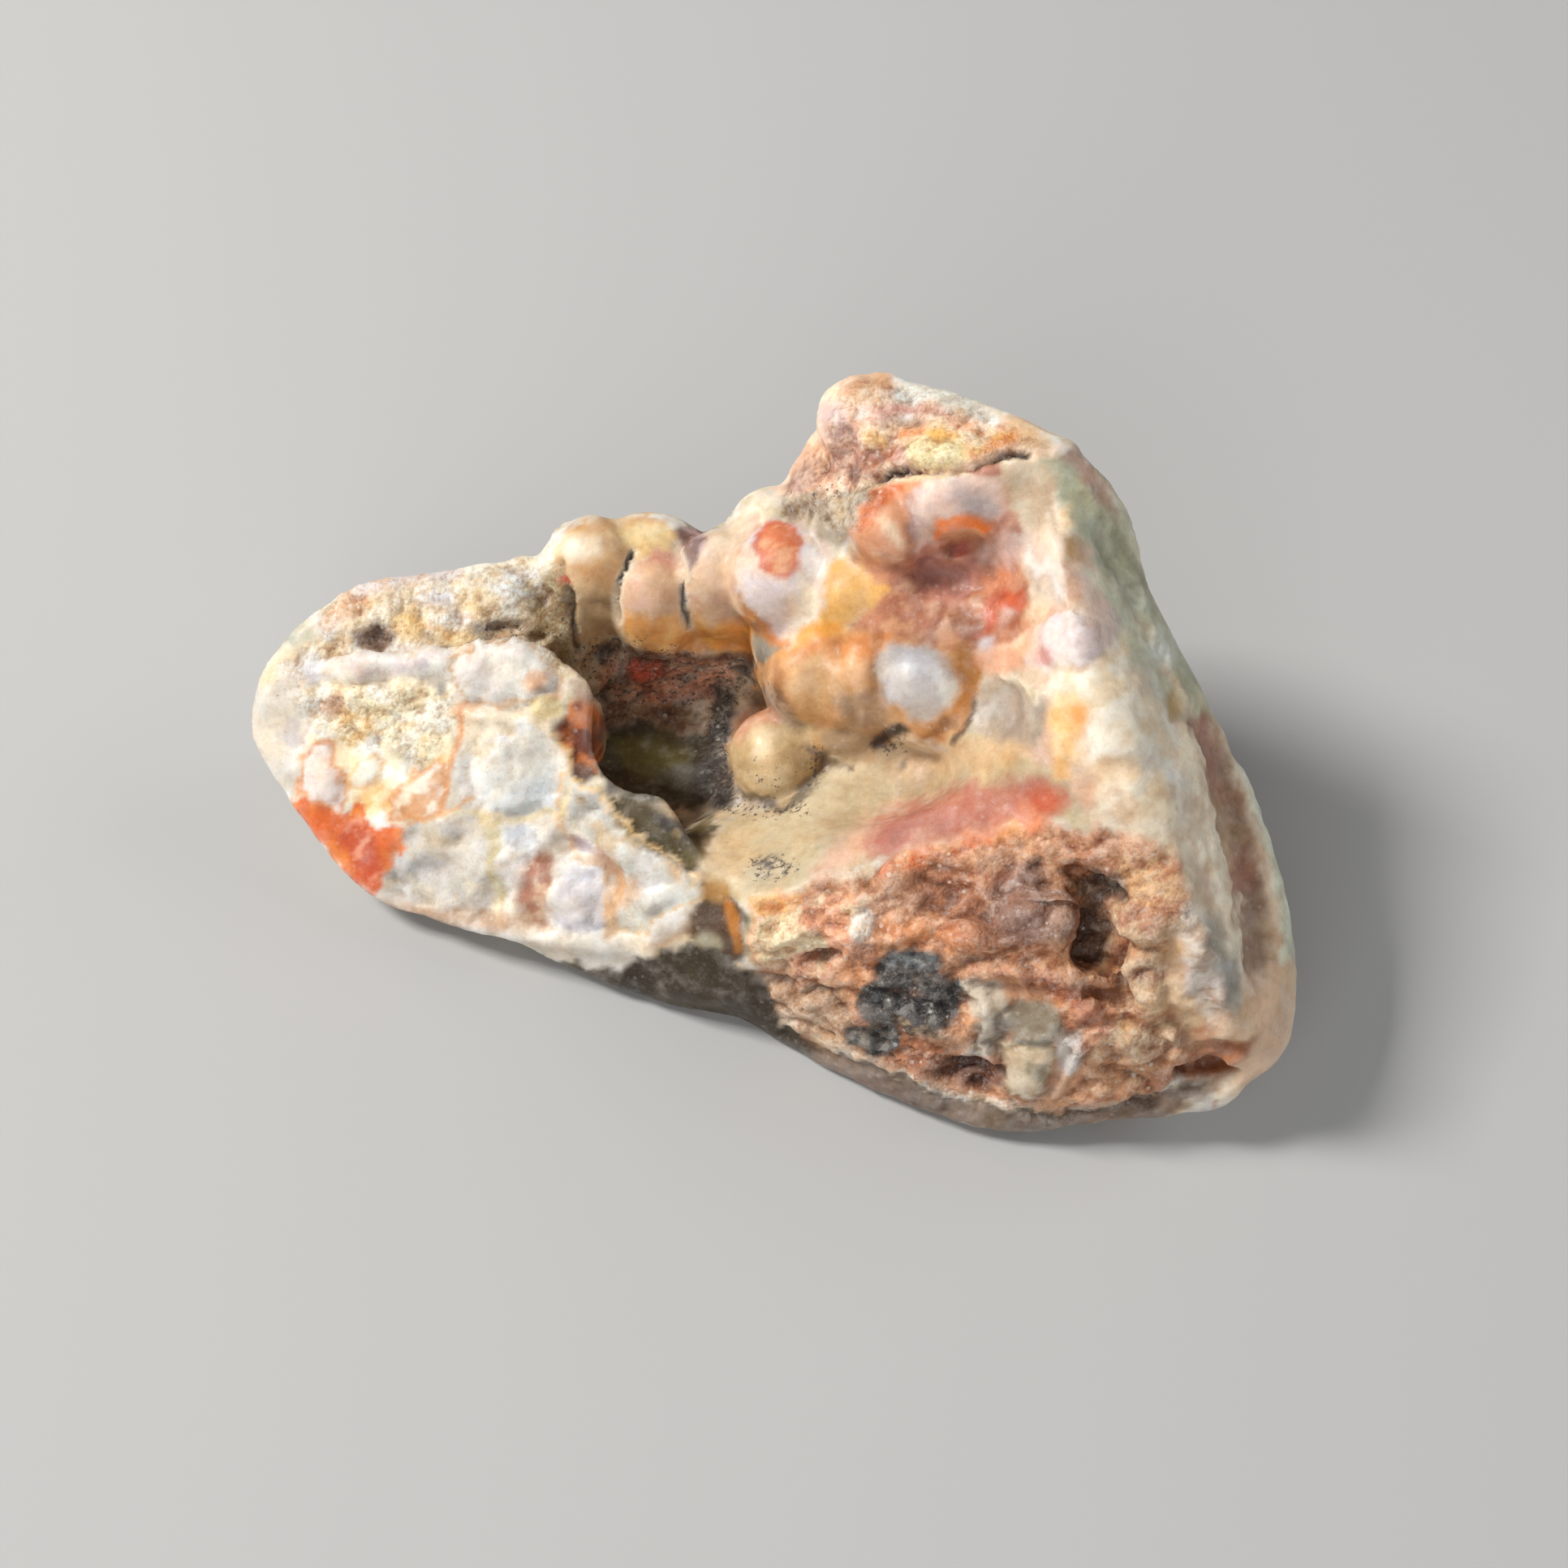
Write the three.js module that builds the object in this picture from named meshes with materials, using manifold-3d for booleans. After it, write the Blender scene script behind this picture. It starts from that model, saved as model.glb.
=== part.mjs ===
// Rough ocean jasper: one natural lump of chalcedony, modelled as a single faceted solid.
// Millimetres, +Z up. The origin is the middle of the small flat spot that the stone rests on,
// +X runs along its length from the low left arm to the high right end, and -Y is its rough front.
import * as THREE from 'three';
import { ConvexGeometry } from 'three/addons/geometries/ConvexGeometry.js';
import { ImprovedNoise } from 'three/addons/math/ImprovedNoise.js';
import { TessellateModifier } from 'three/addons/modifiers/TessellateModifier.js';
import { mergeVertices } from 'three/addons/utils/BufferGeometryUtils.js';
import Module from 'manifold-3d';

const wasm = await Module();
wasm.setup();

// The resting spot is the plane z = 0, and everything below it is trimmed away.
const FLOOR = 0;
// Nothing on the stone is further from the origin than this.
const REACH = 60;
// The weathered surface: broad dents, then finer ones at a share of their depth.
const BROAD_WAVE = 7.5;
const FINE_WAVE = 2.6;
const FINE_SHARE = 0.45;
// Vertices closer than this are one vertex.
const WELD = 1e-4;
// The longest edge that a boulder's facets may have, and how often they can be halved to get there.
const LONGEST_EDGE = 3.4;
const MOST_HALVINGS = 12;
// How far worn edges move towards their neighbours, and how many times.
const WEAR = 0.45;
const WEAR_PASSES = 2;
// How far a hollow's surface departs from its ellipsoid, as a share of its radius.
const HOLLOW_UNEVENNESS = 0.16;

// A boulder is one big convex mass of the stone: its corners, and how deep its weathering is.
const BOULDERS = {
  // The long mass with the rough broken face in front, the crest above it, and the smooth slope
  // that falls from the crest into the pocket.
  front: {
    corners: [
      [-7, -3.8, 9.3], [-3.6, -3.4, 10.6], [-0.2, -2.6, 12], [4.7, -2.1, 13.6],
      [9.9, -2.5, 14.8], [14, -3.6, 15.4], [15.6, -7, 14.6], [17, -9.2, 12], [19, -10.8, 8],
      [18.2, -12.4, 2.8], [12.5, -13, 1.6], [8.8, -13.1, 0.8], [4, -12.8, 0.4],
      [2.4, -11.8, 0.2], [0.3, -10.5, 0.8], [-5.3, -7.8, 1], [-11.4, -5.6, 0.2],
      [-10.4, 4.7, 4.2], [-6, 9, 5.4], [1.4, 10, 9.4], [9, 9, 14], [-9, 8, -1], [8, 9, -1],
      [10, -6.4, -1], [-3, -5.6, -1],
    ],
    weathering: 0.45,
  },
  // The wall along the right: the high ridge, the waxy right side and the low right tip.
  wall: {
    corners: [
      [8.4, 13.5, 25], [9.4, 15, 24.6], [12.4, 12.6, 22.2], [9.3, 7, 24], [10.4, 3, 22.4],
      [12.5, -0.3, 19.8], [14.2, -3.6, 17.3], [15.4, -6.8, 14.8], [16.9, -9, 12.2],
      [19.2, -10.8, 8.2], [16.1, 8.5, 17.6], [19.9, 2.8, 13], [22.2, -2.8, 9.2],
      [22.9, -5.4, 7.4], [21.8, -10.2, 4.4], [18.2, -12.2, 2.6], [4.6, 4, 10.4], [3.4, 8, 9],
      [4, -4, 8], [13, -8, 0.4], [14.4, 0, 0.4], [12, 9, 0.8], [8, 13, 2], [4, 4, -1],
    ],
    weathering: 0.35,
  },
  // The crusty peak at the back.
  peak: {
    corners: [
      [-3.4, 21.2, 19.6], [-5.2, 19.8, 17], [-0.6, 21.6, 22.8], [1.7, 20.8, 23.6],
      [6.6, 16.8, 24.9], [9.2, 15.2, 24.8], [11.6, 14.2, 23.4], [13.8, 11, 20.4],
      [8.4, 13, 24.9], [3, 13, 24.2], [-1.4, 15, 21.4], [-5.8, 18.6, 13], [5.6, 7.8, 14],
      [0, 8.8, 13.8], [-5, 11, 11], [13.4, 9, 12], [-3.6, 17.6, 2], [2.6, 18.2, 3],
      [10.4, 13.4, 1], [10, 6, 0], [-3, 10, 0],
    ],
    weathering: 0.45,
  },
  // The low mass that joins the arm to the right side under the pocket.
  base: {
    corners: [
      [-19.4, -1.8, 0.8], [-17, -3.2, 0.4], [-14.2, -4.4, 0.2], [-11, -5.2, 0.2], [-6, -6, 2],
      [-5, 8, 3.4], [-7, 17, 3.4], [-18, 17, 3.4], [-22, 8, 3.2],
      [-16, 1, 0.3], [-9, -2, -0.6], [-6, 10, -0.8], [-15, 11, 0.3], [-18.5, -1.5, 3.4],
      [-8, -4.4, 4.4],
    ],
    weathering: 0.25,
  },
  // The left block: the sloping facet of cream and blue-white quartz, out to the left tip.
  block: {
    corners: [
      [-34.8, 9.2, 6.4], [-32, 11, 9.8], [-27.2, 11, 11.8], [-22.7, 10.8, 13.2],
      [-19, 10.8, 13.8], [-16.4, 9, 13.8], [-14.8, 6.6, 12.4], [-13.9, 3.1, 9.6],
      [-12.6, 1.1, 9], [-9.4, 0, 8.5], [-8.6, -1.9, 8], [-9.5, -2.9, 6], [-12.7, -3.4, 3.8],
      [-16.6, -3.5, 2.7], [-20.3, -2.4, 1.6], [-24, -1.5, 1.1], [-27.4, -1, 1.2],
      [-29.3, 0.4, 1.7], [-31.5, 3.4, 3.2], [-33, 5.6, 4.8], [-30, 7, 1.4], [-26, 4, 0.4],
      [-18, 2, 0.6], [-28, 12, 1.4], [-17, 9, 1], [-13, 0.6, 3],
    ],
    weathering: 0.4,
  },
  // The crusty rim behind the block.
  rim: {
    corners: [
      [-35.2, 10.2, 7], [-33.4, 13, 10.3], [-31.2, 14.1, 11.9], [-28.6, 15.8, 12.5],
      [-23.1, 16.3, 12.9], [-17.6, 17, 12.9], [-33, 9.4, 7], [-31, 10.4, 9.8],
      [-29, 11.6, 11], [-24.8, 11.4, 11.6], [-16.6, 12.6, 10.8], [-15.4, 15.6, 11.4],
      [-32, 11.6, 2.4], [-28, 14.6, 1.4], [-18, 16, 0.6], [-32, 8.6, 2.8], [-16, 11, 1],
    ],
    weathering: 0.45,
  },
  // The back wall of the pocket, under the overhanging lumps.
  back: {
    corners: [
      [-20, 16.6, 12], [-12, 18.4, 12.6], [-2, 18.8, 14.4], [-17, 13.6, 9.4],
      [-12.4, 13.4, 9], [-4, 13.6, 9.4], [-20, 15.8, 1.4], [-12, 17, 1.8], [-2, 17, 1.4],
      [-17, 12, 0.3], [-4, 12, 0], [-12, 11.6, 3.4],
    ],
    weathering: 0.35,
  },
  // The front of the peak, which runs down to the botryoidal lumps at the edge of the pocket.
  column: {
    corners: [
      [-7.2, 15, 14], [-4.4, 17, 16.8], [0.6, 14, 20.8], [5, 12.6, 22.2], [9, 12, 23.6],
      [9.6, 7.6, 21.6], [9, 5.4, 17], [2, 6.6, 15], [-3.4, 7.6, 13.4], [-5.8, 9.2, 12.2],
      [-7, 12.4, 10.4], [7, 3.8, 12.6], [4.4, 4.8, 10.8], [-6.4, 12, 2], [4, 14, 1], [8, 7, 2],
      [-5.2, 9, 2],
    ],
    weathering: 0.3,
  },
  // The low saddle that joins the block to the crest, in front of the pocket.
  saddle: {
    corners: [
      [-13.6, 0.4, 7.6], [-12.6, -2.2, 6.4], [-9.4, -2.2, 8], [-6.2, -3.6, 8.8],
      [-5.6, 2.6, 7.4], [-9, 4.4, 5.2], [-13.4, 3.4, 5], [-12, -4.6, 2], [-7, -6, 3],
      [-12, 4, 0], [-6, 3, 0], [-12, -3, 0],
    ],
    weathering: 0.25,
  },
};

// A hollow or a lump is an ellipsoid: its centre, its three radii, and how far it is tilted about
// X and then turned about Z, in degrees.
const HOLLOWS = [
  // The pocket, and the part of it that runs back under the overhanging lumps.
  { at: [-11.8, 8, 8.4], radii: [4.4, 5.2, 5.6] },
  { at: [-10.6, 11.2, 6], radii: [5, 2.4, 3] },
  // The smooth slope is dished between the crest and the lumps.
  { at: [-2.5, 2.6, 15.6], radii: [10, 4.4, 6.8], turn: 10, tilt: 8 },
  // The red recess below the peak.
  { at: [3.6, 8.4, 20.8], radii: [3.4, 2.6, 2.4] },
  // The groove between the block and the rim, with its two crusty holes.
  { at: [-24.6, 12, 13.4], radii: [6.6, 0.9, 1.6], turn: 2 },
  { at: [-27.1, 12.4, 11.9], radii: [1.5, 1, 1.2] },
  { at: [-19.3, 12.8, 12.4], radii: [2.2, 1, 1.6] },
  // The notch between the block and the crest.
  { at: [-9, -4.6, 9.2], radii: [1.7, 3, 2.6], turn: -20 },
  // The pits and hollows of the rough front face.
  { at: [3.2, -5.4, 11.4], radii: [2.6, 1.9, 1.9], turn: 10 },
  { at: [6.8, -5.2, 12.2], radii: [2.6, 2, 1.8], turn: -8 },
  { at: [11, -5, 10.6], radii: [1.5, 1.7, 2.8] },
  { at: [9.9, -4.2, 11.8], radii: [1.9, 1.5, 1.5] },
  { at: [11.6, -9, 8], radii: [0.9, 1.1, 0.9] },
  { at: [4.5, -11.8, 2.9], radii: [2, 1.4, 0.9] },
  { at: [17.2, -11.4, 4.4], radii: [2.5, 1.2, 1.1], turn: 20 },
  // The long groove down the waxy right side.
  { at: [19.2, -1.8, 12.6], radii: [1, 7.4, 1.2], turn: 8, tilt: 28 },
];

const LUMPS = [
  // The round lumps of the back rim, which overhang the pocket.
  { at: [-15.8, 16.4, 12], radii: [2.3, 2.4, 2.6] },
  { at: [-12.4, 17.4, 12.6], radii: [2.9, 2, 2.1] },
  { at: [-12.3, 15, 11.2], radii: [2.3, 2.4, 2.9] },
  { at: [-8.5, 15.5, 12.2], radii: [2.5, 2.4, 3.4] },
  // The lump with the eye spot, the crust behind it and the yellow lump beside it.
  { at: [-4.6, 14, 14.4], radii: [3.3, 2.9, 3.1] },
  { at: [-5.4, 17, 14.6], radii: [2.6, 2.4, 2.6] },
  { at: [-1.4, 11.6, 15.4], radii: [2.1, 2, 2.4] },
  // The honey-coloured lumps that hang over the slope, and the white-topped one.
  { at: [-3.6, 9.1, 11.4], radii: [2.4, 2.2, 2.8] },
  { at: [-1, 7.8, 12], radii: [2.1, 2, 3] },
  { at: [-1.6, 7.4, 9.4], radii: [2.7, 1.8, 1.8] },
  { at: [2.3, 7.2, 12.6], radii: [2.5, 2.2, 2.9] },
  // The ball at the edge of the pocket.
  { at: [-5.4, 7.4, 7], radii: [2.45, 2.45, 2.45] },
  // The rounded lip over the red recess.
  { at: [0.4, 12.2, 18.6], radii: [2.4, 2.6, 2.2] },
  // The bulging flank of the block over the pocket.
  { at: [-16.6, 7.8, 8.8], radii: [1.7, 2.4, 3.4] },
];

const noise = new ImprovedNoise();

// The weathered relief at a point: broad dents with finer ones on them, between about -1 and 1.
function relief(point) {
  const broad = noise.noise(point.x / BROAD_WAVE, point.y / BROAD_WAVE, point.z / BROAD_WAVE);
  const fine = noise.noise(point.x / FINE_WAVE, point.y / FINE_WAVE, point.z / FINE_WAVE);
  return (broad + FINE_SHARE * fine) * 2;
}

// Each vertex moved towards the middle of its neighbours, which rounds the edges and the corners.
function wearDown(geometry) {
  const position = geometry.attributes.position;
  const index = geometry.index;
  const sums = Array.from({ length: position.count }, () => new THREE.Vector3());
  const counts = new Array(position.count).fill(0);
  const neighbour = new THREE.Vector3();
  for (let i = 0; i < index.count; i += 3) {
    for (let side = 0; side < 3; side += 1) {
      const vertex = index.getX(i + side);
      const next = index.getX(i + ((side + 1) % 3));
      sums[vertex].add(neighbour.fromBufferAttribute(position, next));
      counts[vertex] += 1;
    }
  }
  const point = new THREE.Vector3();
  sums.forEach((sum, vertex) => {
    point.fromBufferAttribute(position, vertex);
    point.lerp(sum.divideScalar(counts[vertex]), WEAR);
    position.setXYZ(vertex, point.x, point.y, point.z);
  });
}

// A convex mass through the given corners, cut into small facets, worn and weathered.
function boulderGeometry({ corners, weathering }) {
  const points = corners.map((corner) => new THREE.Vector3(...corner));
  const cutter = new TessellateModifier(LONGEST_EDGE, MOST_HALVINGS);
  const faceted = cutter.modify(new ConvexGeometry(points));
  faceted.deleteAttribute('normal');
  const geometry = mergeVertices(faceted, WELD);
  for (let pass = 0; pass < WEAR_PASSES; pass += 1) {
    wearDown(geometry);
  }
  geometry.computeVertexNormals();
  const position = geometry.attributes.position;
  const point = new THREE.Vector3();
  const normal = new THREE.Vector3();
  for (let i = 0; i < position.count; i += 1) {
    point.fromBufferAttribute(position, i);
    normal.fromBufferAttribute(geometry.attributes.normal, i);
    point.addScaledVector(normal, weathering * relief(point));
    position.setXYZ(i, point.x, point.y, point.z);
  }
  return geometry;
}

// An ellipsoid, faceted more finely the larger it is.
function lumpGeometry({ at, radii, turn = 0, tilt = 0 }) {
  const geometry = new THREE.IcosahedronGeometry(1, Math.max(...radii) > 4 ? 3 : 2);
  geometry.scale(...radii);
  geometry.rotateX(THREE.MathUtils.degToRad(tilt));
  geometry.rotateZ(THREE.MathUtils.degToRad(turn));
  geometry.translate(...at);
  return geometry;
}

// The shape that a hollow takes out: an ellipsoid with an uneven surface.
function hollowGeometry(hollow) {
  const geometry = lumpGeometry(hollow);
  const centre = new THREE.Vector3(...hollow.at);
  const position = geometry.attributes.position;
  const point = new THREE.Vector3();
  for (let i = 0; i < position.count; i += 1) {
    point.fromBufferAttribute(position, i).sub(centre);
    const surface = point.clone().add(centre);
    point.multiplyScalar(1 + HOLLOW_UNEVENNESS * relief(surface)).add(centre);
    position.setXYZ(i, point.x, point.y, point.z);
  }
  return geometry;
}

// The solid for a closed geometry.
function solid(geometry) {
  geometry.deleteAttribute('normal');
  geometry.deleteAttribute('uv');
  const merged = mergeVertices(geometry, WELD);
  return new wasm.Manifold(new wasm.Mesh({
    numProp: 3,
    vertProperties: new Float32Array(merged.attributes.position.array),
    triVerts: new Uint32Array(merged.index.array),
  }));
}

function joined(geometries) {
  return geometries.map(solid).reduce((sum, next) => sum.add(next));
}

const below = new THREE.BoxGeometry(2 * REACH, 2 * REACH, REACH);
below.translate(0, 0, FLOOR - REACH / 2);

const stone = joined(Object.values(BOULDERS).map(boulderGeometry))
  .subtract(joined(HOLLOWS.map(hollowGeometry)))
  .add(joined(LUMPS.map(lumpGeometry)))
  .subtract(solid(below));

const stoneMesh = stone.getMesh();
const stoneGeometry = new THREE.BufferGeometry();
stoneGeometry.setAttribute('position', new THREE.BufferAttribute(stoneMesh.vertProperties, 3));
stoneGeometry.setIndex(new THREE.BufferAttribute(stoneMesh.triVerts, 1));
stoneGeometry.computeVertexNormals();

const chalcedony = new THREE.MeshStandardMaterial({ color: 0xd9b795, roughness: 0.45, metalness: 0 });
const jasper = new THREE.Mesh(stoneGeometry, chalcedony);
jasper.name = 'ocean_jasper';

const part = new THREE.Group();
part.add(jasper);

export default part;
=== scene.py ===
"""The looks of a rough ocean jasper: its fine surface, its colours, the floor, lights and camera.

The stone is built as a distance field from masses, hollows and lumps much like the solid's, turned
into a fine mesh, weathered, and given patches of colour and a procedural stone material. Lengths
are in millimetres until the mesh is written. Places in the frame are in its pixels, from its top
left corner.
"""
import math

import bmesh
import bpy
import numpy as np
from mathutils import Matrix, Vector
from mathutils.bvhtree import BVHTree

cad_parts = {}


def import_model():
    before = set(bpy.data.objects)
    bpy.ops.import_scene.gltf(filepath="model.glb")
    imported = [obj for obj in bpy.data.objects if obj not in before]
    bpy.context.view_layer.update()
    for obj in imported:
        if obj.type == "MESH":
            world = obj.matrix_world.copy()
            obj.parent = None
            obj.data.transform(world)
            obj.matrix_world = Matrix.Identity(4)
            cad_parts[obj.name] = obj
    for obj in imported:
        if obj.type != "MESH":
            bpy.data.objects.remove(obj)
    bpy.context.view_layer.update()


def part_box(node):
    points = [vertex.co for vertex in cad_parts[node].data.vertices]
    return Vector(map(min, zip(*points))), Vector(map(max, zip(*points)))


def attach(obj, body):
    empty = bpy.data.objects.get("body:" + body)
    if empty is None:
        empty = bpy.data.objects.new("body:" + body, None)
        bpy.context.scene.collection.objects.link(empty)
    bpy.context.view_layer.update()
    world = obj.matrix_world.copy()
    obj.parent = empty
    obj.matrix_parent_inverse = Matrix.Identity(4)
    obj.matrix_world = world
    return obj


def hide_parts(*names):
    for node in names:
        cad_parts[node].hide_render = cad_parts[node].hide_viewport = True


# One millimetre in the scene's metres.
MM = 0.001

# The camera: its height above the horizon, its distance from the stone, and the point it looks at.
VIEW_ELEVATION = math.radians(55)
VIEW_DISTANCE = 140
VIEW_TARGET = np.array([-5.0, 2.0, 12.0])
FRAME_PIXELS = 1932
FOCAL_PIXELS = 3303
SENSOR_MM = 36
NEAREST_SEEN_M = 0.005

# The field's grid: the size of its cells, and how far it reaches past the solid.
CELL = 0.253
GRID_MARGIN = 1.2

# What the field holds where nothing has been added yet.
FAR_OUTSIDE = 50.0

# How gently the masses, the hollows and the lumps run into one another.
MASS_BLEND = 1.1
HOLLOW_BLEND = 0.7
LUMP_BLEND = 0.6

# How far past a shape the field is worked out, beyond its blend.
SHAPE_MARGIN = 1

# How far the rounded masses are swollen, so that their edges reach almost to their corners.
MASS_SWELL = 0.3

# The noise that makes a hollow's wall ragged: its wave, seed and number of layers.
RAGGED_NOISE = (1.9, 23, 2)

# Keeps a division from zero.
TINY = 1e-12

# The big convex masses: corners in mm, and how crisp their edges are.
MASSES = {
    "front": ([
        (-7, -3.8, 9.3), (-3.6, -3.4, 10.6), (-0.2, -2.6, 12), (4.7, -2.1, 13.6), (9.9, -2.5, 14.8),
        (14, -3.6, 15.4), (15.6, -7, 14.6), (17, -9.2, 12), (19, -10.8, 8), (18.2, -12.4, 2.8),
        (12.5, -13, 1.6), (8.8, -13.1, 0.8), (4, -12.8, 0.4), (2.4, -11.8, 0.2), (0.3, -10.5, 0.8),
        (-5.6, -6.6, 1), (-9, -4.8, 0.2), (-10.4, 4.7, 4.2), (-6, 9, 5.4), (1.4, 10, 9.4), (9, 9, 14),
        (-9, 8, -1), (8, 9, -1), (10, -6.4, -1), (-3, -5.6, -1)], 2.6),
    "wall": ([
        (8.4, 13.5, 25), (9.4, 15, 24.6), (12.4, 12.6, 22.2), (9.3, 7, 24), (10.4, 3, 22.4),
        (12.5, -0.3, 19.8), (14.2, -3.6, 17.3), (15.4, -6.8, 14.8), (16.9, -9, 12.2),
        (19.2, -10.8, 8.2), (16.1, 8.5, 17.6), (19.9, 2.8, 13), (22.2, -2.8, 9.2), (22.9, -5.4, 7.4),
        (21.8, -10.2, 4.4), (18.2, -12.2, 2.6), (4.6, 4, 10.4), (3.4, 8, 9), (4, -4, 8), (13, -8, 0.4),
        (14.4, 0, 0.4), (12, 9, 0.8), (8, 13, 2), (4, 4, -1)], 1.8),
    "peak": ([
        (-3.4, 21.2, 19.6), (-5.2, 19.8, 17), (-0.6, 21.6, 22.8), (1.7, 20.8, 23.6), (6.6, 16.8, 24.9),
        (9.2, 15.2, 24.8), (11.6, 14.2, 23.4), (13.8, 11, 20.4), (8.4, 13, 24.9), (3, 13, 24.2),
        (-1.4, 15, 21.4), (-5.8, 18.6, 13), (5.6, 7.8, 14), (0, 8.8, 13.8), (-5, 11, 11), (13.4, 9, 12),
        (-3.6, 17.6, 2), (2.6, 18.2, 3), (10.4, 13.4, 1), (10, 6, 0), (-3, 10, 0)], 2.4),
    "base": ([
        (-19.4, -1.8, 0.8), (-17, -3.2, 0.4), (-14.2, -4.4, 0.2), (-11, -5.2, 0.2), (-6, -6, 2),
        (-5, 8, 3.4), (-7, 17, 3.4), (-18, 17, 3.4), (-22, 8, 3.2), (-16, 1, 0.3), (-9, -2, -0.6),
        (-6, 10, -0.8), (-15, 11, 0.3), (-18.5, -1.5, 3.4), (-8, -4.4, 4.4)], 2.6),
    "block": ([
        (-34.8, 9.2, 6.4), (-32, 11, 9.8), (-27.2, 11, 11.8), (-22.7, 10.8, 13.2), (-19, 10.8, 13.8),
        (-16.4, 9, 13.8), (-14.8, 6.6, 12.4), (-13.9, 3.1, 9.6), (-12.6, 1.1, 9), (-9.4, 0, 8.5),
        (-8.6, -1.9, 8), (-9.5, -2.9, 6), (-12.7, -3.4, 3.8), (-16.6, -2.9, 3.2), (-20.3, -1.7, 2.2),
        (-24, -0.7, 1.8), (-27.2, 0.6, 1.6), (-28.6, 1.9, 1.9), (-30.4, 4, 3.3), (-32.8, 6, 4.8),
        (-30, 7, 1.4), (-26, 4, 0.4), (-18, 2, 0.6), (-28, 12, 1.4), (-17, 9, 1), (-13, 0.6, 3)], 3.4),
    "rim": ([
        (-35.2, 10.2, 7), (-33.4, 13, 10.3), (-31.2, 14.1, 11.9), (-28.6, 15.8, 12.5),
        (-23.1, 16.3, 12.9), (-17.6, 17, 12.9), (-33, 9.4, 7), (-31, 10.4, 9.8), (-29, 11.6, 11),
        (-24.8, 11.4, 11.6), (-16.6, 12.6, 10.8), (-15.4, 15.6, 11.4), (-32, 11.6, 2.4),
        (-28, 14.6, 1.4), (-18, 16, 0.6), (-32, 8.6, 2.8), (-16, 11, 1)], 2.6),
    "back": ([
        (-20, 16.6, 12), (-12, 18.4, 12.6), (-2, 18.8, 14.4), (-17, 13.6, 9.4), (-12.4, 13.4, 9),
        (-4, 13.6, 9.4), (-20, 15.8, 1.4), (-12, 17, 1.8), (-2, 17, 1.4), (-17, 12, 0.3), (-4, 12, 0),
        (-12, 11.6, 3.4)], 2.6),
    "column": ([
        (-7.2, 15, 14), (-4.4, 17, 16.8), (0.6, 14, 20.8), (5, 12.6, 22.2), (9, 12, 23.6),
        (9.6, 7.6, 21.6), (9, 5.4, 17), (2, 6.6, 15), (-3.4, 7.6, 13.4), (-5.8, 9.2, 12.2),
        (-7, 12.4, 10.4), (7, 3.8, 12.6), (4.4, 4.8, 10.8), (-6.4, 12, 2), (4, 14, 1), (8, 7, 2),
        (-5.2, 9, 2)], 2.6),
    "saddle": ([
        (-13.6, 0.4, 7.6), (-12.6, -2.2, 6.4), (-9.4, -2.2, 8), (-6.2, -3.6, 8.8), (-5.6, 2.6, 7.4),
        (-9, 4.4, 5.2), (-13.4, 3.4, 5), (-12, -4.6, 2), (-7, -6, 3), (-12, 4, 0), (-6, 3, 0),
        (-12, -3, 0)], 3),
}

# Ellipsoids: centre, radii, tilt about X and turn about Z in degrees, then the blend where it isn't
# the usual one. A hollow may also say how ragged its wall is, in mm.
HOLLOWS = {
    "pocket": ((-11.8, 8, 8.4), (4.4, 5.2, 5.6), 0, 0),
    "pocket under the rim": ((-10.6, 11.2, 6), (5, 2.4, 3), 0, 0),
    "dished slope": ((-2.5, 2.6, 15.6), (10, 4.4, 6.8), 8, 10),
    "red recess": ((3.5, 9, 20.4), (3.5, 2.8, 2.9), 0, 0),
    "groove behind the block": ((-24.6, 12, 13.4), (6.6, 0.9, 1.6), 0, 2),
    "left crusty hole": ((-27.1, 12.2, 12.6), (1.3, 0.9, 0.8), 0, 0, 0.7, 0.5),
    "right crusty hole": ((-19.3, 12.7, 13), (2.2, 0.8, 0.8), 0, 0, 0.7, 0.5),
    "notch": ((-9, -4.6, 9.2), (1.7, 3, 2.6), 0, -20),
    "left hollow of the face": ((3, -5.7, 12.2), (3, 1.8, 1.5), 0, 10, 1.2, 0.3),
    "right hollow of the face": ((7, -5.5, 13.1), (2.8, 1.9, 1.3), 0, -8, 1.2, 0.3),
    "deep pit": ((10.9, -6.7, 10.7), (1.4, 1.7, 2.1), 0, 0, 1.2, 0.4),
    "pit's throat": ((10.5, -5.4, 11.8), (1, 1.5, 1.5), 0, 0, 1.2, 0.4),
    "pit's upper arm": ((11.3, -4.6, 12.5), (2, 1.2, 1.2), 0, 0, 1.2, 0.4),
    "small pit": ((11.6, -8.9, 9), (1.3, 0.7, 0.5), 0, 0, 0.9, 0.4),
    "cavity at the foot": ((3.8, -12, 3), (2.7, 1.1, 0.6), 0, 0, 0.7, 0.4),
    "right cavity": ((16.6, -11.6, 5), (1.9, 1.2, 0.8), 0, 20),
    "groove down the right side": ((19.2, -1.8, 12.6), (1, 7.4, 1.2), 28, 8),
}
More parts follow.
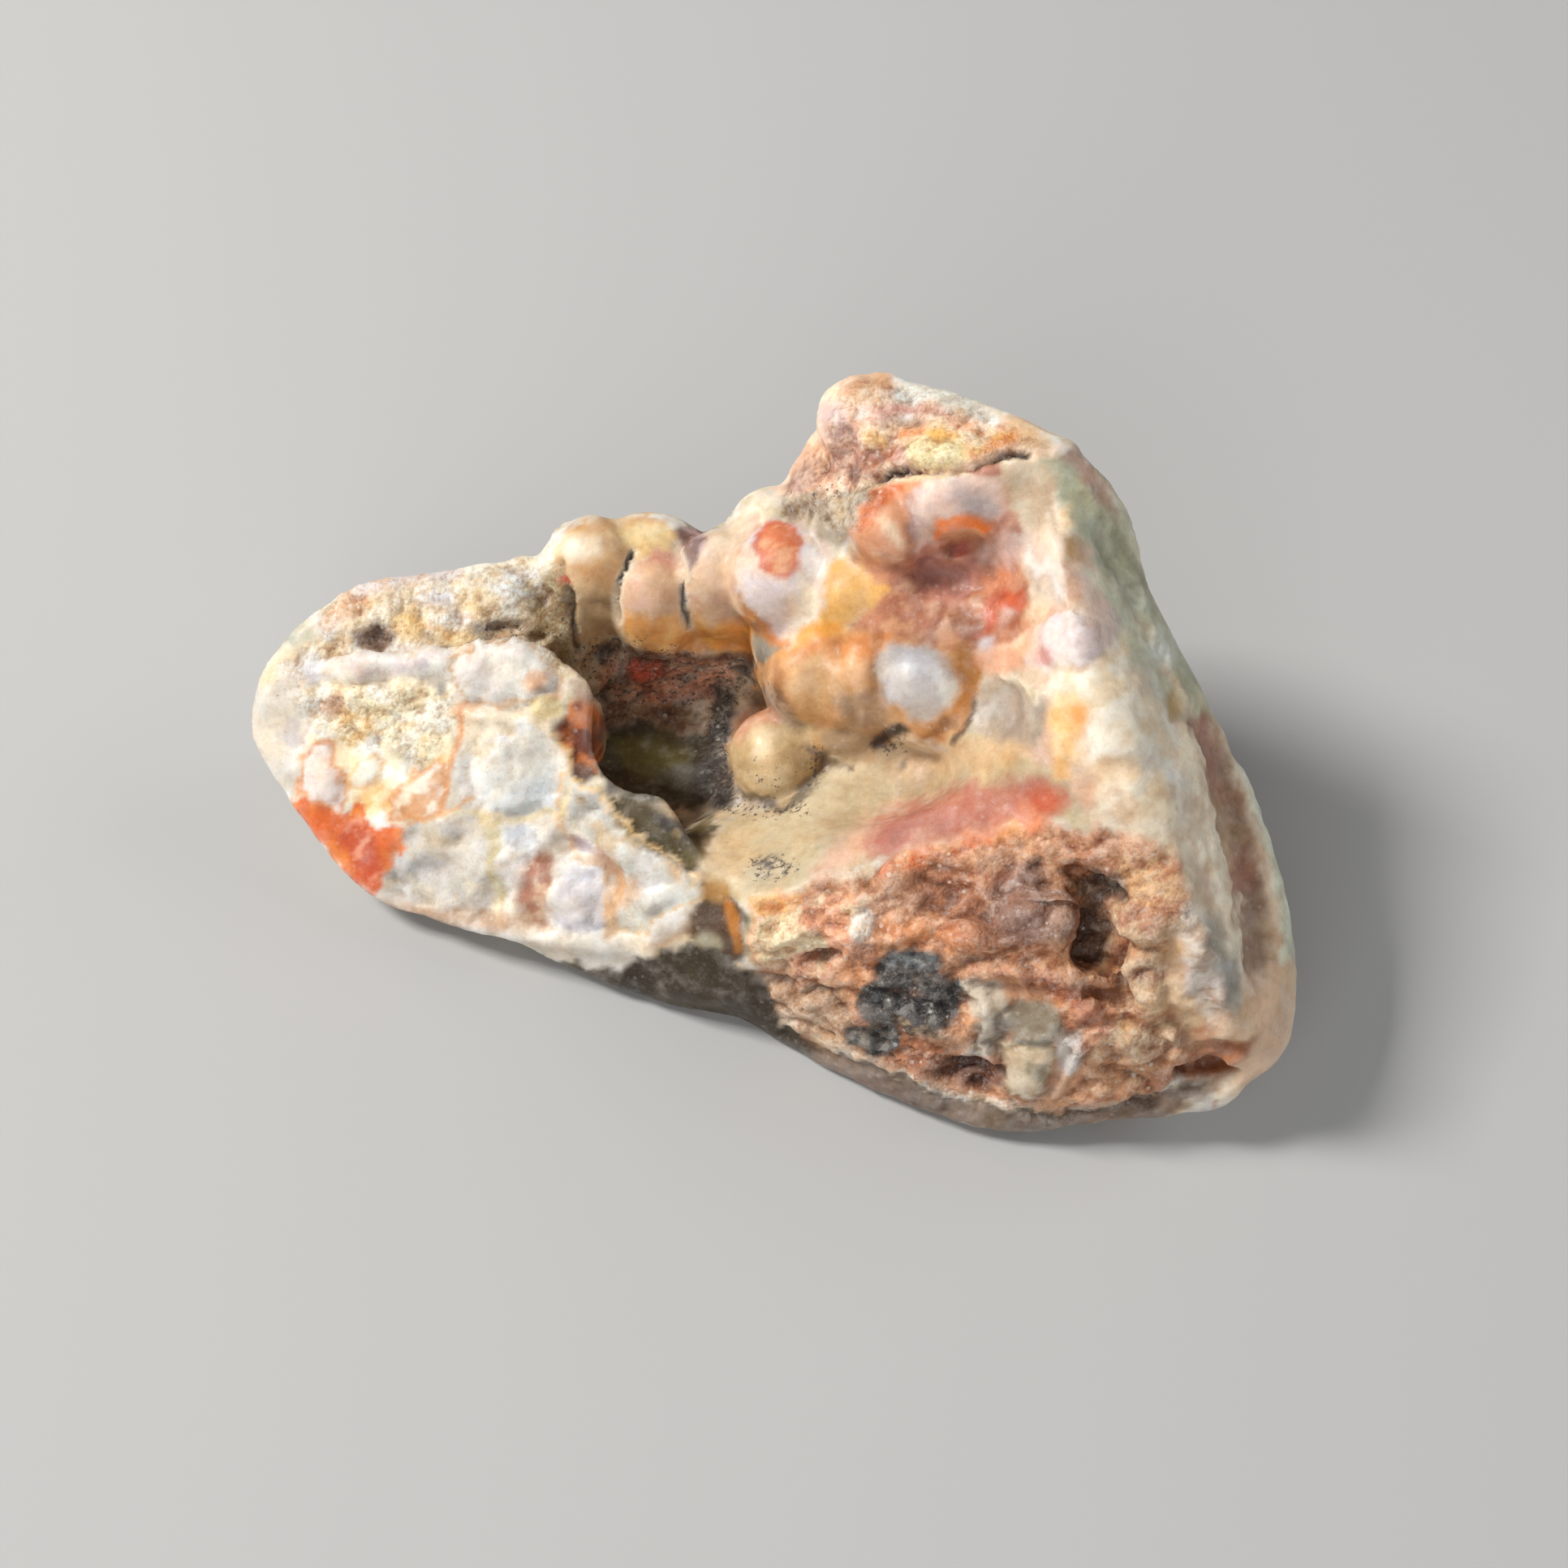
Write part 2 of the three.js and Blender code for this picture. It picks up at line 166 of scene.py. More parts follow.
LUMPS = {
    "rim lump 1": ((-15.6, 16.4, 11.9), (2.9, 2.8, 3.5), 0, 0),
    "rim lump behind": ((-12.4, 17.4, 12.6), (2.9, 2, 2.1), 0, 0),
    "rim lump 2": ((-12.2, 15, 11), (2.6, 2.6, 3.3), 0, 0),
    "rim lump 3": ((-8.4, 15.4, 12), (2.8, 2.6, 3.7), 0, 0),
    "eye lump": ((-4.7, 13.8, 14.4), (3.4, 3, 3.2), 0, 0),
    "crust behind the eye": ((-5.4, 17, 14.6), (2.6, 2.4, 2.6), 0, 0),
    "yellow lump": ((-1.4, 11.6, 15.4), (2.1, 2, 2.4), 0, 0),
    "honey lump 1": ((-3.5, 9.1, 11.4), (2.6, 2.3, 3), 0, 0),
    "honey lump 2": ((-1, 8, 12), (2.3, 2.1, 3.2), 0, 0),
    "olive lump": ((-1.6, 7.4, 9.4), (2.7, 1.8, 1.8), 0, 0),
    "white-topped lump": ((2.4, 7.2, 12.5), (2.8, 2.4, 3.2), 0, 0),
    "shelf": ((7, 4.6, 12.4), (3.2, 2.9, 2.6), 0, 0, 2.8),
    "ball": ((-5.4, 6.9, 7.7), (2.6, 2.6, 2.6), 0, 0),
    "left brow": ((0.4, 13.1, 19.9), (2.2, 2.3, 2), 0, 0),
    "right brow": ((4, 13, 21.8), (2.6, 1.9, 1.7), 0, 0),
    "foot of the peak": ((-3, 17.2, 17.5), (1.5, 1.5, 1.6), 0, 0),
    "flank of the block": ((-16.6, 7.8, 8.8), (1.7, 2.4, 3.4), 0, 0),
    "crown of the peak": ((0, 18.5, 21.1), (3.7, 2.9, 2.5), 0, -30),
}


# ---------------------------------------------------------------- noise

# The corners of a unit cube, and the cells around a cell.
CUBE_CORNERS = [(x, y, z) for x in (0, 1) for y in (0, 1) for z in (0, 1)]
NEIGHBOURS = [(x, y, z) for x in (-1, 0, 1) for y in (-1, 0, 1) for z in (-1, 0, 1)]

# An integer hash: the factors of the three axes and of the seed, and the shifts and factors that
# stir it.
AXIS_FACTORS = (374761393, 668265263, 2246822519)
SEED_FACTOR = 3266489917
STIRRING = ((13, 1274126177), (16, 2654435761), (15, 1))
LARGEST_HASH = 2 ** 32 - 1

# What brings gradient noise to about -1 to 1.
NOISE_GAIN = 1.4

# The steps between the seeds of a noise's layers, of its slopes' axes and of its spots' axes.
LAYER_SEED_STEP = 31
SLOPE_SEED_STEP = 7
SPOT_SEED_STEP = 11

# Crystals: how far they are turned and tilted at most, in radians, how much some stand out, and
# the steps to the seeds of the three.
CRYSTAL_TURN = 3
CRYSTAL_RISE = 0.25
CRYSTAL_SEED_STEPS = (41, 43, 47)


def lattice_values(ix, iy, iz, seed):
    """A repeatable random number from 0 to 1 for each lattice point."""
    with np.errstate(over="ignore"):
        value = np.uint32(seed) * np.uint32(SEED_FACTOR)
        for index, factor in zip((ix, iy, iz), AXIS_FACTORS):
            value = value + index.astype(np.uint32) * np.uint32(factor)
        for shift, factor in STIRRING:
            value = (value ^ (value >> np.uint32(shift))) * np.uint32(factor)
    return value.astype(np.float64) / LARGEST_HASH


def smooth_noise(points, wave, seed):
    """Gradient noise at points, about -1 to 1, with features about one wave across."""
    scaled = points / wave
    home = np.floor(scaled).astype(np.int64)
    inside = scaled - home
    fade = inside ** 3 * (inside * (inside * 6 - 15) + 10)
    total = np.zeros(len(points))
    for corner in CUBE_CORNERS:
        cell = (home + corner).T
        slope, weight = 0, 1
        for axis in range(3):
            steepness = lattice_values(*cell, seed + SLOPE_SEED_STEP * axis) * 2 - 1
            slope = slope + steepness * (inside[:, axis] - corner[axis])
            weight = weight * (fade[:, axis] if corner[axis] else 1 - fade[:, axis])
        total += weight * slope
    return total * NOISE_GAIN


def layered_noise(points, wave, seed, octaves=3, falloff=0.5):
    """Gradient noise with finer and finer layers."""
    total = np.zeros(len(points))
    share = 1.0
    for octave in range(octaves):
        total += share * smooth_noise(points, wave / 2 ** octave, seed + LAYER_SEED_STEP * octave)
        share *= falloff
    return total


def noise_vectors(points, wave, seeds):
    """Gradient noises, one for each seed, as the coordinates of a vector at each point."""
    return np.stack([smooth_noise(points, wave, seed) for seed in seeds], axis=1)


def nearest_spot(points, wave, seed):
    """The distance, in waves, to the nearest of a set of scattered spots."""
    scaled = points / wave
    home = np.floor(scaled).astype(np.int64)
    nearest = np.full(len(points), np.inf)
    for step in NEIGHBOURS:
        cell = (home + step).T
        spot = [cell[axis] + lattice_values(*cell, seed + SPOT_SEED_STEP * axis) for axis in range(3)]
        nearest = np.minimum(nearest, np.linalg.norm(scaled - np.stack(spot, axis=1), axis=1))
    return nearest


def crystal_noise(points, wave, seed):
    """The height, in waves, of a cluster of box-shaped crystals, each turned its own way."""
    scaled = points / wave
    home = np.floor(scaled).astype(np.int64)
    highest = np.full(len(points), -np.inf)
    for step in NEIGHBOURS:
        cell = (home + step).T
        offset = [scaled[:, axis] - cell[axis] - lattice_values(*cell, seed + SPOT_SEED_STEP * axis)
                  for axis in range(3)]
        turn, tilt, rise = [lattice_values(*cell, seed + more) for more in CRYSTAL_SEED_STEPS]
        along, across = turned(offset[0], offset[1], CRYSTAL_TURN * turn)
        level, upright = turned(across, offset[2], CRYSTAL_TURN * tilt)
        side = np.maximum(np.abs(along), np.maximum(np.abs(level), np.abs(upright)))
        highest = np.maximum(highest, CRYSTAL_RISE * rise - side)
    return highest


def turned(first, second, angle):
    """Two coordinates along axes that are turned by an angle."""
    return (first * np.cos(angle) + second * np.sin(angle),
            second * np.cos(angle) - first * np.sin(angle))


# ---------------------------------------------------------------- the distance field

def hull_planes(corners):
    """The outward planes (normal, offset) of the convex hull of the corners."""
    mesh = bmesh.new()
    for corner in corners:
        mesh.verts.new(corner)
    bmesh.ops.convex_hull(mesh, input=mesh.verts)
    centre = Vector(np.mean(corners, axis=0))
    planes = []
    for face in mesh.faces:
        normal = face.normal.copy()
        if normal.dot(face.verts[0].co - centre) < 0:
            normal.negate()
        planes.append((np.array(normal), normal.dot(face.verts[0].co)))
    mesh.free()
    return planes


def mass_distance(points, corners, crispness):
    """The distance outside a convex mass with rounded edges."""
    planes = hull_planes(corners)
    largest = np.full(len(points), -np.inf)
    for normal, offset in planes:
        largest = np.maximum(largest, points @ normal - offset)
    total = np.zeros(len(points))
    for normal, offset in planes:
        total += np.exp(crispness * (points @ normal - offset - largest))
    return largest + np.log(total) / crispness - MASS_SWELL


def ellipsoid_distance(points, centre, radii, tilt, turn):
    """Roughly the distance outside an ellipsoid."""
    tilt, turn = math.radians(tilt), math.radians(turn)
    offset = points - centre
    along = offset[:, 0] * math.cos(turn) + offset[:, 1] * math.sin(turn)
    across = -offset[:, 0] * math.sin(turn) + offset[:, 1] * math.cos(turn)
    level = across * math.cos(tilt) + offset[:, 2] * math.sin(tilt)
    upright = -across * math.sin(tilt) + offset[:, 2] * math.cos(tilt)
    local = np.stack([along, level, upright], axis=1)
    scaled = np.linalg.norm(local / radii, axis=1)
    steep = np.linalg.norm(local / np.square(radii), axis=1)
    return scaled * (scaled - 1) / np.maximum(steep, TINY)


def smooth_minimum(a, b, radius):
    """The lower of two fields, with the crease between them filled."""
    overlap = np.maximum(radius - np.abs(a - b), 0) / radius
    return np.minimum(a, b) - overlap * overlap * radius / 4


class Field:
    """A signed distance on a regular grid."""

    def __init__(self, low, high, cell):
        self.low = np.asarray(low)
        self.cell = cell
        self.axes = [np.arange(low[a], high[a] + cell, cell) for a in range(3)]
        self.values = np.full([len(axis) for axis in self.axes], FAR_OUTSIDE, dtype=np.float32)

    def change(self, low, high, distance, combine):
        """Combines the field, inside a box, with a distance given as a function of points."""
        spans = []
        for axis in range(3):
            first = np.searchsorted(self.axes[axis], low[axis])
            last = np.searchsorted(self.axes[axis], high[axis])
            spans.append(slice(first, last))
        grid = np.meshgrid(*[self.axes[a][spans[a]] for a in range(3)], indexing="ij")
        points = np.stack([g.ravel() for g in grid], axis=1)
        window = self.values[tuple(spans)]
        changed = combine(window.ravel(), distance(points))
        self.values[tuple(spans)] = changed.reshape(window.shape)


def add_mass(field, corners, crispness):
    """Joins a convex mass to the field."""
    corners = np.array(corners, dtype=float)
    reach = MASS_BLEND + SHAPE_MARGIN
    field.change(
        corners.min(axis=0) - reach, corners.max(axis=0) + reach,
        lambda points: mass_distance(points, corners, crispness),
        lambda old, new: smooth_minimum(old, new, MASS_BLEND))


def add_lump(field, centre, radii, tilt, turn, blend=LUMP_BLEND):
    """Joins an ellipsoid to the field."""
    reach = max(radii) + blend + SHAPE_MARGIN
    field.change(
        np.array(centre) - reach, np.array(centre) + reach,
        lambda points: ellipsoid_distance(points, centre, radii, tilt, turn),
        lambda old, new: smooth_minimum(old, new, blend))


def cut_hollow(field, centre, radii, tilt, turn, blend=HOLLOW_BLEND, ragged=0):
    """Cuts an ellipsoid out of the field. Its wall is uneven by as much as ragged says."""
    reach = max(radii) + blend + SHAPE_MARGIN

    def distance(points):
        uneven = ragged * layered_noise(points, *RAGGED_NOISE)
        return ellipsoid_distance(points, centre, radii, tilt, turn) + uneven

    field.change(np.array(centre) - reach, np.array(centre) + reach, distance,
                 lambda old, new: -smooth_minimum(-old, new, blend))


def stone_field():
    """The whole stone as a field, a little larger than the solid's box and cut off at the floor."""
    low, high = [np.array(corner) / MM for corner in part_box("ocean_jasper")]
    field = Field(low - GRID_MARGIN, high + GRID_MARGIN, CELL)
    for corners, crispness in MASSES.values():
        add_mass(field, corners, crispness)
    for hollow in HOLLOWS.values():
        cut_hollow(field, *hollow)
    for lump in LUMPS.values():
        add_lump(field, *lump)
    field.values = np.maximum(field.values, -field.axes[2][None, None, :]).astype(np.float32)
    return field


def surface(field):
    """The zero surface of a field as points and quads, with one point in each cell it crosses."""
    values = field.values
    inside = values < 0
    size = [n - 1 for n in values.shape]

    def shifted(array, offset):
        return array[tuple(slice(o, o + n) for o, n in zip(offset, size))]

    count = sum(shifted(inside, corner).astype(np.int8) for corner in CUBE_CORNERS)
    crossed = np.argwhere((count > 0) & (count < len(CUBE_CORNERS)))
    number = np.full(size, -1, dtype=np.int64)
    number[tuple(crossed.T)] = np.arange(len(crossed))
    total = np.zeros((len(crossed), 3))
    hits = np.zeros(len(crossed))
    for start in CUBE_CORNERS:
        for axis in range(3):
            if start[axis]:
                continue
            end = tuple(s + (1 if a == axis else 0) for a, s in enumerate(start))
            first = values[tuple((crossed + start).T)]
            last = values[tuple((crossed + end).T)]
            cut = (first < 0) != (last < 0)
            share = np.where(cut, first / np.where(cut, first - last, 1), 0)
            spot = np.repeat(np.array(start, dtype=float)[None], len(crossed), axis=0)
            spot[:, axis] += share
            total += spot * cut[:, None]
            hits += cut
    points = field.low + (crossed + total / hits[:, None]) * field.cell
    quads = []
    for axis in range(3):
        one, two = [a for a in range(3) if a != axis]
        before = np.take(inside, range(values.shape[axis] - 1), axis=axis)
        after = np.take(inside, range(1, values.shape[axis]), axis=axis)
        edges = np.argwhere(before != after)
        edges = edges[(edges[:, one] > 0) & (edges[:, two] > 0)]
        edges = edges[(edges[:, one] < size[one]) & (edges[:, two] < size[two])]
        around = []
        for a, b in ((-1, -1), (0, -1), (0, 0), (-1, 0)):
            cell = edges.copy()
            cell[:, one] += a
            cell[:, two] += b
            around.append(number[tuple(cell.T)])
        ring = np.stack(around, axis=1)
        outward = before[tuple(edges.T)] ^ (axis == 1)
        ring[~outward] = ring[~outward][:, ::-1]
        quads.append(ring)
    return points, np.concatenate(quads)


def point_normals(points, quads):
    """The outward normal at each point, averaged over its quads."""
    diagonal = points[quads[:, 2]] - points[quads[:, 0]]
    other = points[quads[:, 3]] - points[quads[:, 1]]
    face = np.cross(diagonal, other)
    total = np.zeros_like(points)
    for corner in range(4):
        for axis in range(3):
            total[:, axis] += np.bincount(quads[:, corner], face[:, axis], len(points))
    return total / np.maximum(np.linalg.norm(total, axis=1, keepdims=True), TINY)


# ---------------------------------------------------------------- where things are seen

# The camera's directions, and where it stands.
FORWARD = np.array([0, math.cos(VIEW_ELEVATION), -math.sin(VIEW_ELEVATION)])
UPWARD = np.array([0, math.sin(VIEW_ELEVATION), math.cos(VIEW_ELEVATION)])
RIGHTWARD = np.array([1.0, 0, 0])
CAMERA = VIEW_TARGET - VIEW_DISTANCE * FORWARD

# How far the edges of shapes wander, in pixels, at each size of ripple in mm, and its seed.
EDGE_DRIFT = [(10, 1.7, 61), (7, 0.8, 63), (5, 0.42, 65)]

# The width of a shape, in pixels, from which its edges wander fully, and the least share.
LOOSE_SIZE = 80
LEAST_LOOSENESS = 0.3

# A point counts as seen if it faces the camera by this much and a ray, started this far off the
# surface and towards the camera, meets nothing. Then the seen ground is widened and softened.
LEAST_FACING = 0.02
RAY_LIFT = 0.12
RAY_ADVANCE = 0.25
SEEN_ROUNDS = 3


def ramp(values, low, high):
    """Smoothly 0 to 1 as the values go from low to high."""
    share = np.clip((values - low) / (high - low), 0, 1)
    return share * share * (3 - 2 * share)


def linear(red, green, blue):
    """A screen colour from 0 to 255 as linear light, by the sRGB formula."""
    screen = np.array([red, green, blue]) / 255
    return np.where(screen <= 0.04045, screen / 12.92, ((screen + 0.055) / 1.055) ** 2.4)


def segment_distance(at, start, end):
    """How far positions in the frame are from a straight piece of a line."""
    along = end - start
    share = np.clip((at - start) @ along / (along @ along), 0, 1)
    return np.linalg.norm(at - start - share[:, None] * along, axis=1)


def line_distance(at, line):
    """How far positions in the frame are from an open line."""
    corners = np.array(line, dtype=float)
    return np.min([segment_distance(at, *ends) for ends in zip(corners[:-1], corners[1:])], axis=0)


def outline_distance(at, outline):
    """How far positions in the frame lie outside a closed outline; negative inside."""
    inside = np.zeros(len(at), dtype=bool)
    corners = np.array(outline, dtype=float)
    for start, end in zip(corners, np.roll(corners, -1, axis=0)):
        if start[1] != end[1]:
            crosses = (start[1] > at[:, 1]) != (end[1] > at[:, 1])
            across = start[0] + (at[:, 1] - start[1]) / (end[1] - start[1]) * (end[0] - start[0])
            inside ^= crosses & (at[:, 0] < across)
    nearest = line_distance(at, [*outline, outline[0]])
    return np.where(inside, -nearest, nearest)


class View:
    """Where each point of the stone lies in the frame, and how openly it is seen there."""

    def __init__(self, points, quads):
        offset = points - CAMERA
        depth = offset @ FORWARD
        column = FRAME_PIXELS / 2 + FOCAL_PIXELS * (offset @ RIGHTWARD) / depth
        row = FRAME_PIXELS / 2 - FOCAL_PIXELS * (offset @ UPWARD) / depth
        normals = point_normals(points, quads)
        to_eye = -offset / np.linalg.norm(offset, axis=1, keepdims=True)
        facing = np.sum(normals * to_eye, axis=1)
        tree = BVHTree.FromPolygons(points.tolist(), quads.tolist())
        start = points + normals * RAY_LIFT + to_eye * RAY_ADVANCE
        open_to_eye = np.zeros(len(points))
        for index in np.flatnonzero(facing > LEAST_FACING):
            if tree.ray_cast(Vector(start[index]), Vector(to_eye[index]))[0] is None:
                open_to_eye[index] = 1
        self.seen = smoothed(widened(open_to_eye, quads, SEEN_ROUNDS), quads, SEEN_ROUNDS)
        self.at = np.stack([column, row], axis=1)
        self.drift = sum(reach * noise_vectors(points, wave, (seed, seed + 1))
                         for reach, wave, seed in EDGE_DRIFT)

    def near(self, shape, margin):
        """The points seen within a margin of a shape, and where their colour is looked up.

        The look-up wanders a little, so that edges are ragged, but less around a small shape.
        """
        shape = np.array(shape)
        low, high = shape.min(axis=0) - margin, shape.max(axis=0) + margin
        close = np.all((self.at > low) & (self.at < high), axis=1) & (self.seen > 0)
        index = np.flatnonzero(close)
        looseness = np.clip(np.ptp(shape, axis=0).min() / LOOSE_SIZE, LEAST_LOOSENESS, 1)
        return index, self.at[index] + looseness * self.drift[index]


def widened(values, quads, rounds):
    """Values at the points, spread outwards to their neighbours."""
    starts = quads.ravel()
    ends = np.roll(quads, -1, axis=1).ravel()
    for _ in range(rounds):
        wider = values.copy()
        np.maximum.at(wider, starts, values[ends])
        np.maximum.at(wider, ends, values[starts])
        values = wider
    return values


def smoothed(values, quads, rounds):
    """Values at the points, averaged with their neighbours' along the edges of the quads."""
    count = len(values)
    starts = quads.ravel()
    ends = np.roll(quads, -1, axis=1).ravel()
    degree = np.bincount(starts, minlength=count) + np.bincount(ends, minlength=count)
    for _ in range(rounds):
        total = np.bincount(starts, values[ends], count) + np.bincount(ends, values[starts], count)
        values = (values + total / degree) / 2
    return values


# ---------------------------------------------------------------- the relief

# How far around a shape the points are looked up, in pixels: for a dent or swelling, for a kind of
# surface and for the worn ridge. A line's is this many times its half width.
SWELL_MARGIN = 20
KIND_MARGIN = 25
WEAR_MARGIN = 30
LINE_REACH = 3

# Half the width of the edges, in pixels, of a kind of surface and of the worn ridge.
KIND_SOFTNESS = 9
WEAR_SOFTNESS = 20

# A dent's or swelling's edge is firm because this power, under 1, flattens its top.
SWELL_ROUNDNESS = 0.8

# The rounds of averaging that wear the ridge.
WEAR_ROUNDS = 60

# The heights above the floor where the relief begins and where it is full, in mm.
FOOT = (0.05, 0.6)

# Dents and swellings: where they are seen, their half width and height in pixels of the frame,
# lean anticlockwise in degrees, and how far they rise or sink in mm.
SWELLS = {
    "white knob": ((624, 830), (62, 44), 0, 0.9),
    "second knob": ((535, 818), (32, 24), 0, 0.5),
    "third knob": ((445, 822), (60, 20), 4, 0.4),
    "pinkish oval": ((398, 958), (30, 40), -10, 0.35),
    "white oval": ((452, 952), (22, 18), 30, 0.3),
    "cream oval": ((515, 980), (34, 32), 30, 0.3),
    "blue quartz": ((632, 945), (56, 58), -20, 0.45),
    "crystal corner": ((665, 865), (24, 26), 0, 0.3),
    "edge knob 1": ((715, 985), (22, 26), -40, 0.4),
    "edge knob 2": ((765, 1045), (30, 24), -40, 0.45),
    "lower knob": ((715, 1105), (40, 46), 0, 0.3),
    "dent above it": ((700, 1040), (26, 16), -20, -0.35),
    "crust hole": ((465, 787), (22, 15), 0, -0.6),
    "crust hole 2": ((620, 772), (22, 9), 0, -0.5),
    "crust hole 3": ((662, 785), (14, 8), 0, -0.4),
    "crust knob": ((540, 765), (26, 20), 0, 0.4),
    "crust knob 2": ((610, 730), (44, 24), 6, 0.4),
    "crust knob 3": ((420, 765), (26, 20), 10, 0.3),
    "dimple of the eye": ((960, 678), (28, 34), 0, 0.04),
    "hollow at the arc": ((1185, 668), (30, 16), 0, -0.4),
    "recess corner": ((1160, 712), (40, 30), 0, -0.4),
    "stalactite": ((1152, 752), (9, 17), 0, 0.15),
    "block in the recess": ((1207, 748), (18, 16), 0, 0.3),
    "pale bit": ((1168, 770), (9, 8), 0, 0.25),
    "tan knob in the recess": ((1212, 742), (22, 16), 20, 0.15),
    "tan knob 2": ((1150, 750), (14, 16), 0, 0.12),
    "red hollow": ((1236, 775), (22, 24), 0, -0.3),
    "pink dome": ((1315, 790), (40, 36), 10, 0.5),
    "white swelling": ((1390, 890), (50, 60), -30, 0.3),
    "cream knob on top": ((1150, 560), (32, 14), 0, 0.35),
    "orange knob on top": ((1215, 553), (24, 14), 20, 0.3),
    "knob on top": ((1075, 540), (18, 16), 0, 0.3),
    "dip on top": ((1040, 545), (20, 22), 0, -0.35),
    "dip on top 2": ((1110, 520), (40, 10), 0, -0.25),
    "olive dip in the rind": ((1375, 685), (20, 36), 30, -0.2),
    "plate": ((1268, 1308), (36, 42), 0, 0.6),
    "upper plate": ((1225, 1250), (36, 30), 20, 0.3),
    "knob by the pit": ((1272, 1125), (46, 50), 20, 0.65),
    "wall of the pit": ((1310, 1110), (14, 40), 0, 0.4),
    "lip below the pit": ((1330, 1205), (46, 14), -8, 0.5),
    "crag on the left": ((1060, 1165), (40, 26), 0, 0.5),
    "crag in the middle": ((1200, 1150), (56, 18), -6, 0.5),
    "crag on the right": ((1420, 1130), (40, 40), 0, 0.35),
    "crag low on the right": ((1430, 1230), (50, 34), 10, 0.35),
    "notch of the face": ((1008, 1180), (28, 11), 8, -0.7),
    "hollow on the left": ((1155, 1095), (38, 34), 0, -0.5),
    "dark oval": ((1122, 1224), (68, 54), -20, 0.5),
    "white spot": ((1062, 1140), (14, 14), 0, 0.3),
    "red knob": ((1340, 1245), (22, 16), 0, 0.35),
    "dent at the foot": ((1196, 1322), (46, 18), 0, -0.9),
    "cavity at the foot": ((1490, 1300), (50, 18), 14, -0.6),
}

# Grooves and ridges: the line they follow in the frame, half width in pixels, height in mm.
STROKES = {
    "crack under the top, left": ([(1083, 591), (1096, 585), (1128, 579)], 4.5, -0.6),
    "crack under the top, middle": ([(1128, 579), (1160, 583), (1200, 577), (1226, 566)], 4, -0.25),
    "crack under the top, right": ([(1228, 565), (1248, 557), (1268, 560)], 4.5, -0.5),
    "ledge above the crack": ([
        (1070, 585), (1110, 568), (1160, 568), (1200, 562), (1240, 545)], 9, 0.35),
    "crack 1": ([(779, 681), (771, 696), (764, 714), (760, 740), (762, 765)], 3, -0.3),
    "crack 2": ([(832, 672), (842, 705), (839, 735), (848, 768)], 3, -0.3),
    "crack at the crust": ([(690, 695), (698, 720), (706, 760), (714, 800)], 4, -0.35),
    "edge of the blue quartz": ([(560, 880), (600, 882), (650, 890), (690, 900)], 8, 0.2),
    "corner of the block": ([(688, 900), (700, 950), (735, 985), (780, 1025), (860, 1082)], 9, 0.35),
    "between the honey lumps": ([(1030, 795), (1036, 840), (1052, 880), (1040, 905)], 9, -0.25),
    "between honey and white": ([(1082, 790), (1080, 840), (1100, 885), (1110, 905)], 9, -0.25),
    "edge of the white shelf": ([(1240, 830), (1258, 838), (1280, 856), (1276, 872)], 5, 0.22),
    "crest": ([
        (935, 1100), (1000, 1092), (1080, 1062), (1150, 1042), (1230, 1022), (1310, 1020)], 10, 0.1),
    "second ledge": ([
        (1100, 1150), (1160, 1135), (1200, 1140), (1250, 1190), (1320, 1215), (1350, 1250)], 8, 0.4),
    "fold of the plates": ([
        (1190, 1216), (1212, 1226), (1222, 1250), (1210, 1280), (1222, 1304)], 6, 0.45),
    "upper edge of the plate": ([(1236, 1286), (1262, 1270), (1296, 1270), (1334, 1284)], 5, 0.4),
    "right edge of the plate": ([(1334, 1284), (1318, 1310), (1300, 1345)], 5, 0.4),
    "third ledge": ([(960, 1160), (1000, 1145), (1040, 1120), (1090, 1100)], 8, 0.35),
    "low ledge": ([(930, 1205), (1000, 1210), (1040, 1250), (1100, 1300), (1180, 1310)], 7, -0.35),
    "rind line": ([
        (960, 1268), (1030, 1300), (1100, 1330), (1170, 1362), (1260, 1378), (1360, 1370), (1500, 1335)],
        6, -0.25),
    "right groove": ([
        (1478, 885), (1498, 940), (1512, 1000), (1530, 1070), (1545, 1150), (1548, 1210)], 13, -0.45),
    "inner right ridge": ([
        (1455, 900), (1480, 980), (1500, 1060), (1515, 1140), (1535, 1220)], 12, 0.18),
    "outer right ridge": ([
        (1520, 900), (1540, 960), (1560, 1030), (1578, 1110), (1585, 1190)], 12, 0.2),
    "rind ridge": ([(1340, 600), (1372, 680), (1412, 750), (1445, 830), (1475, 890)], 9, 0.2),
    "rind groove": ([(1352, 640), (1385, 720), (1420, 790), (1450, 850)], 7, -0.2),
}

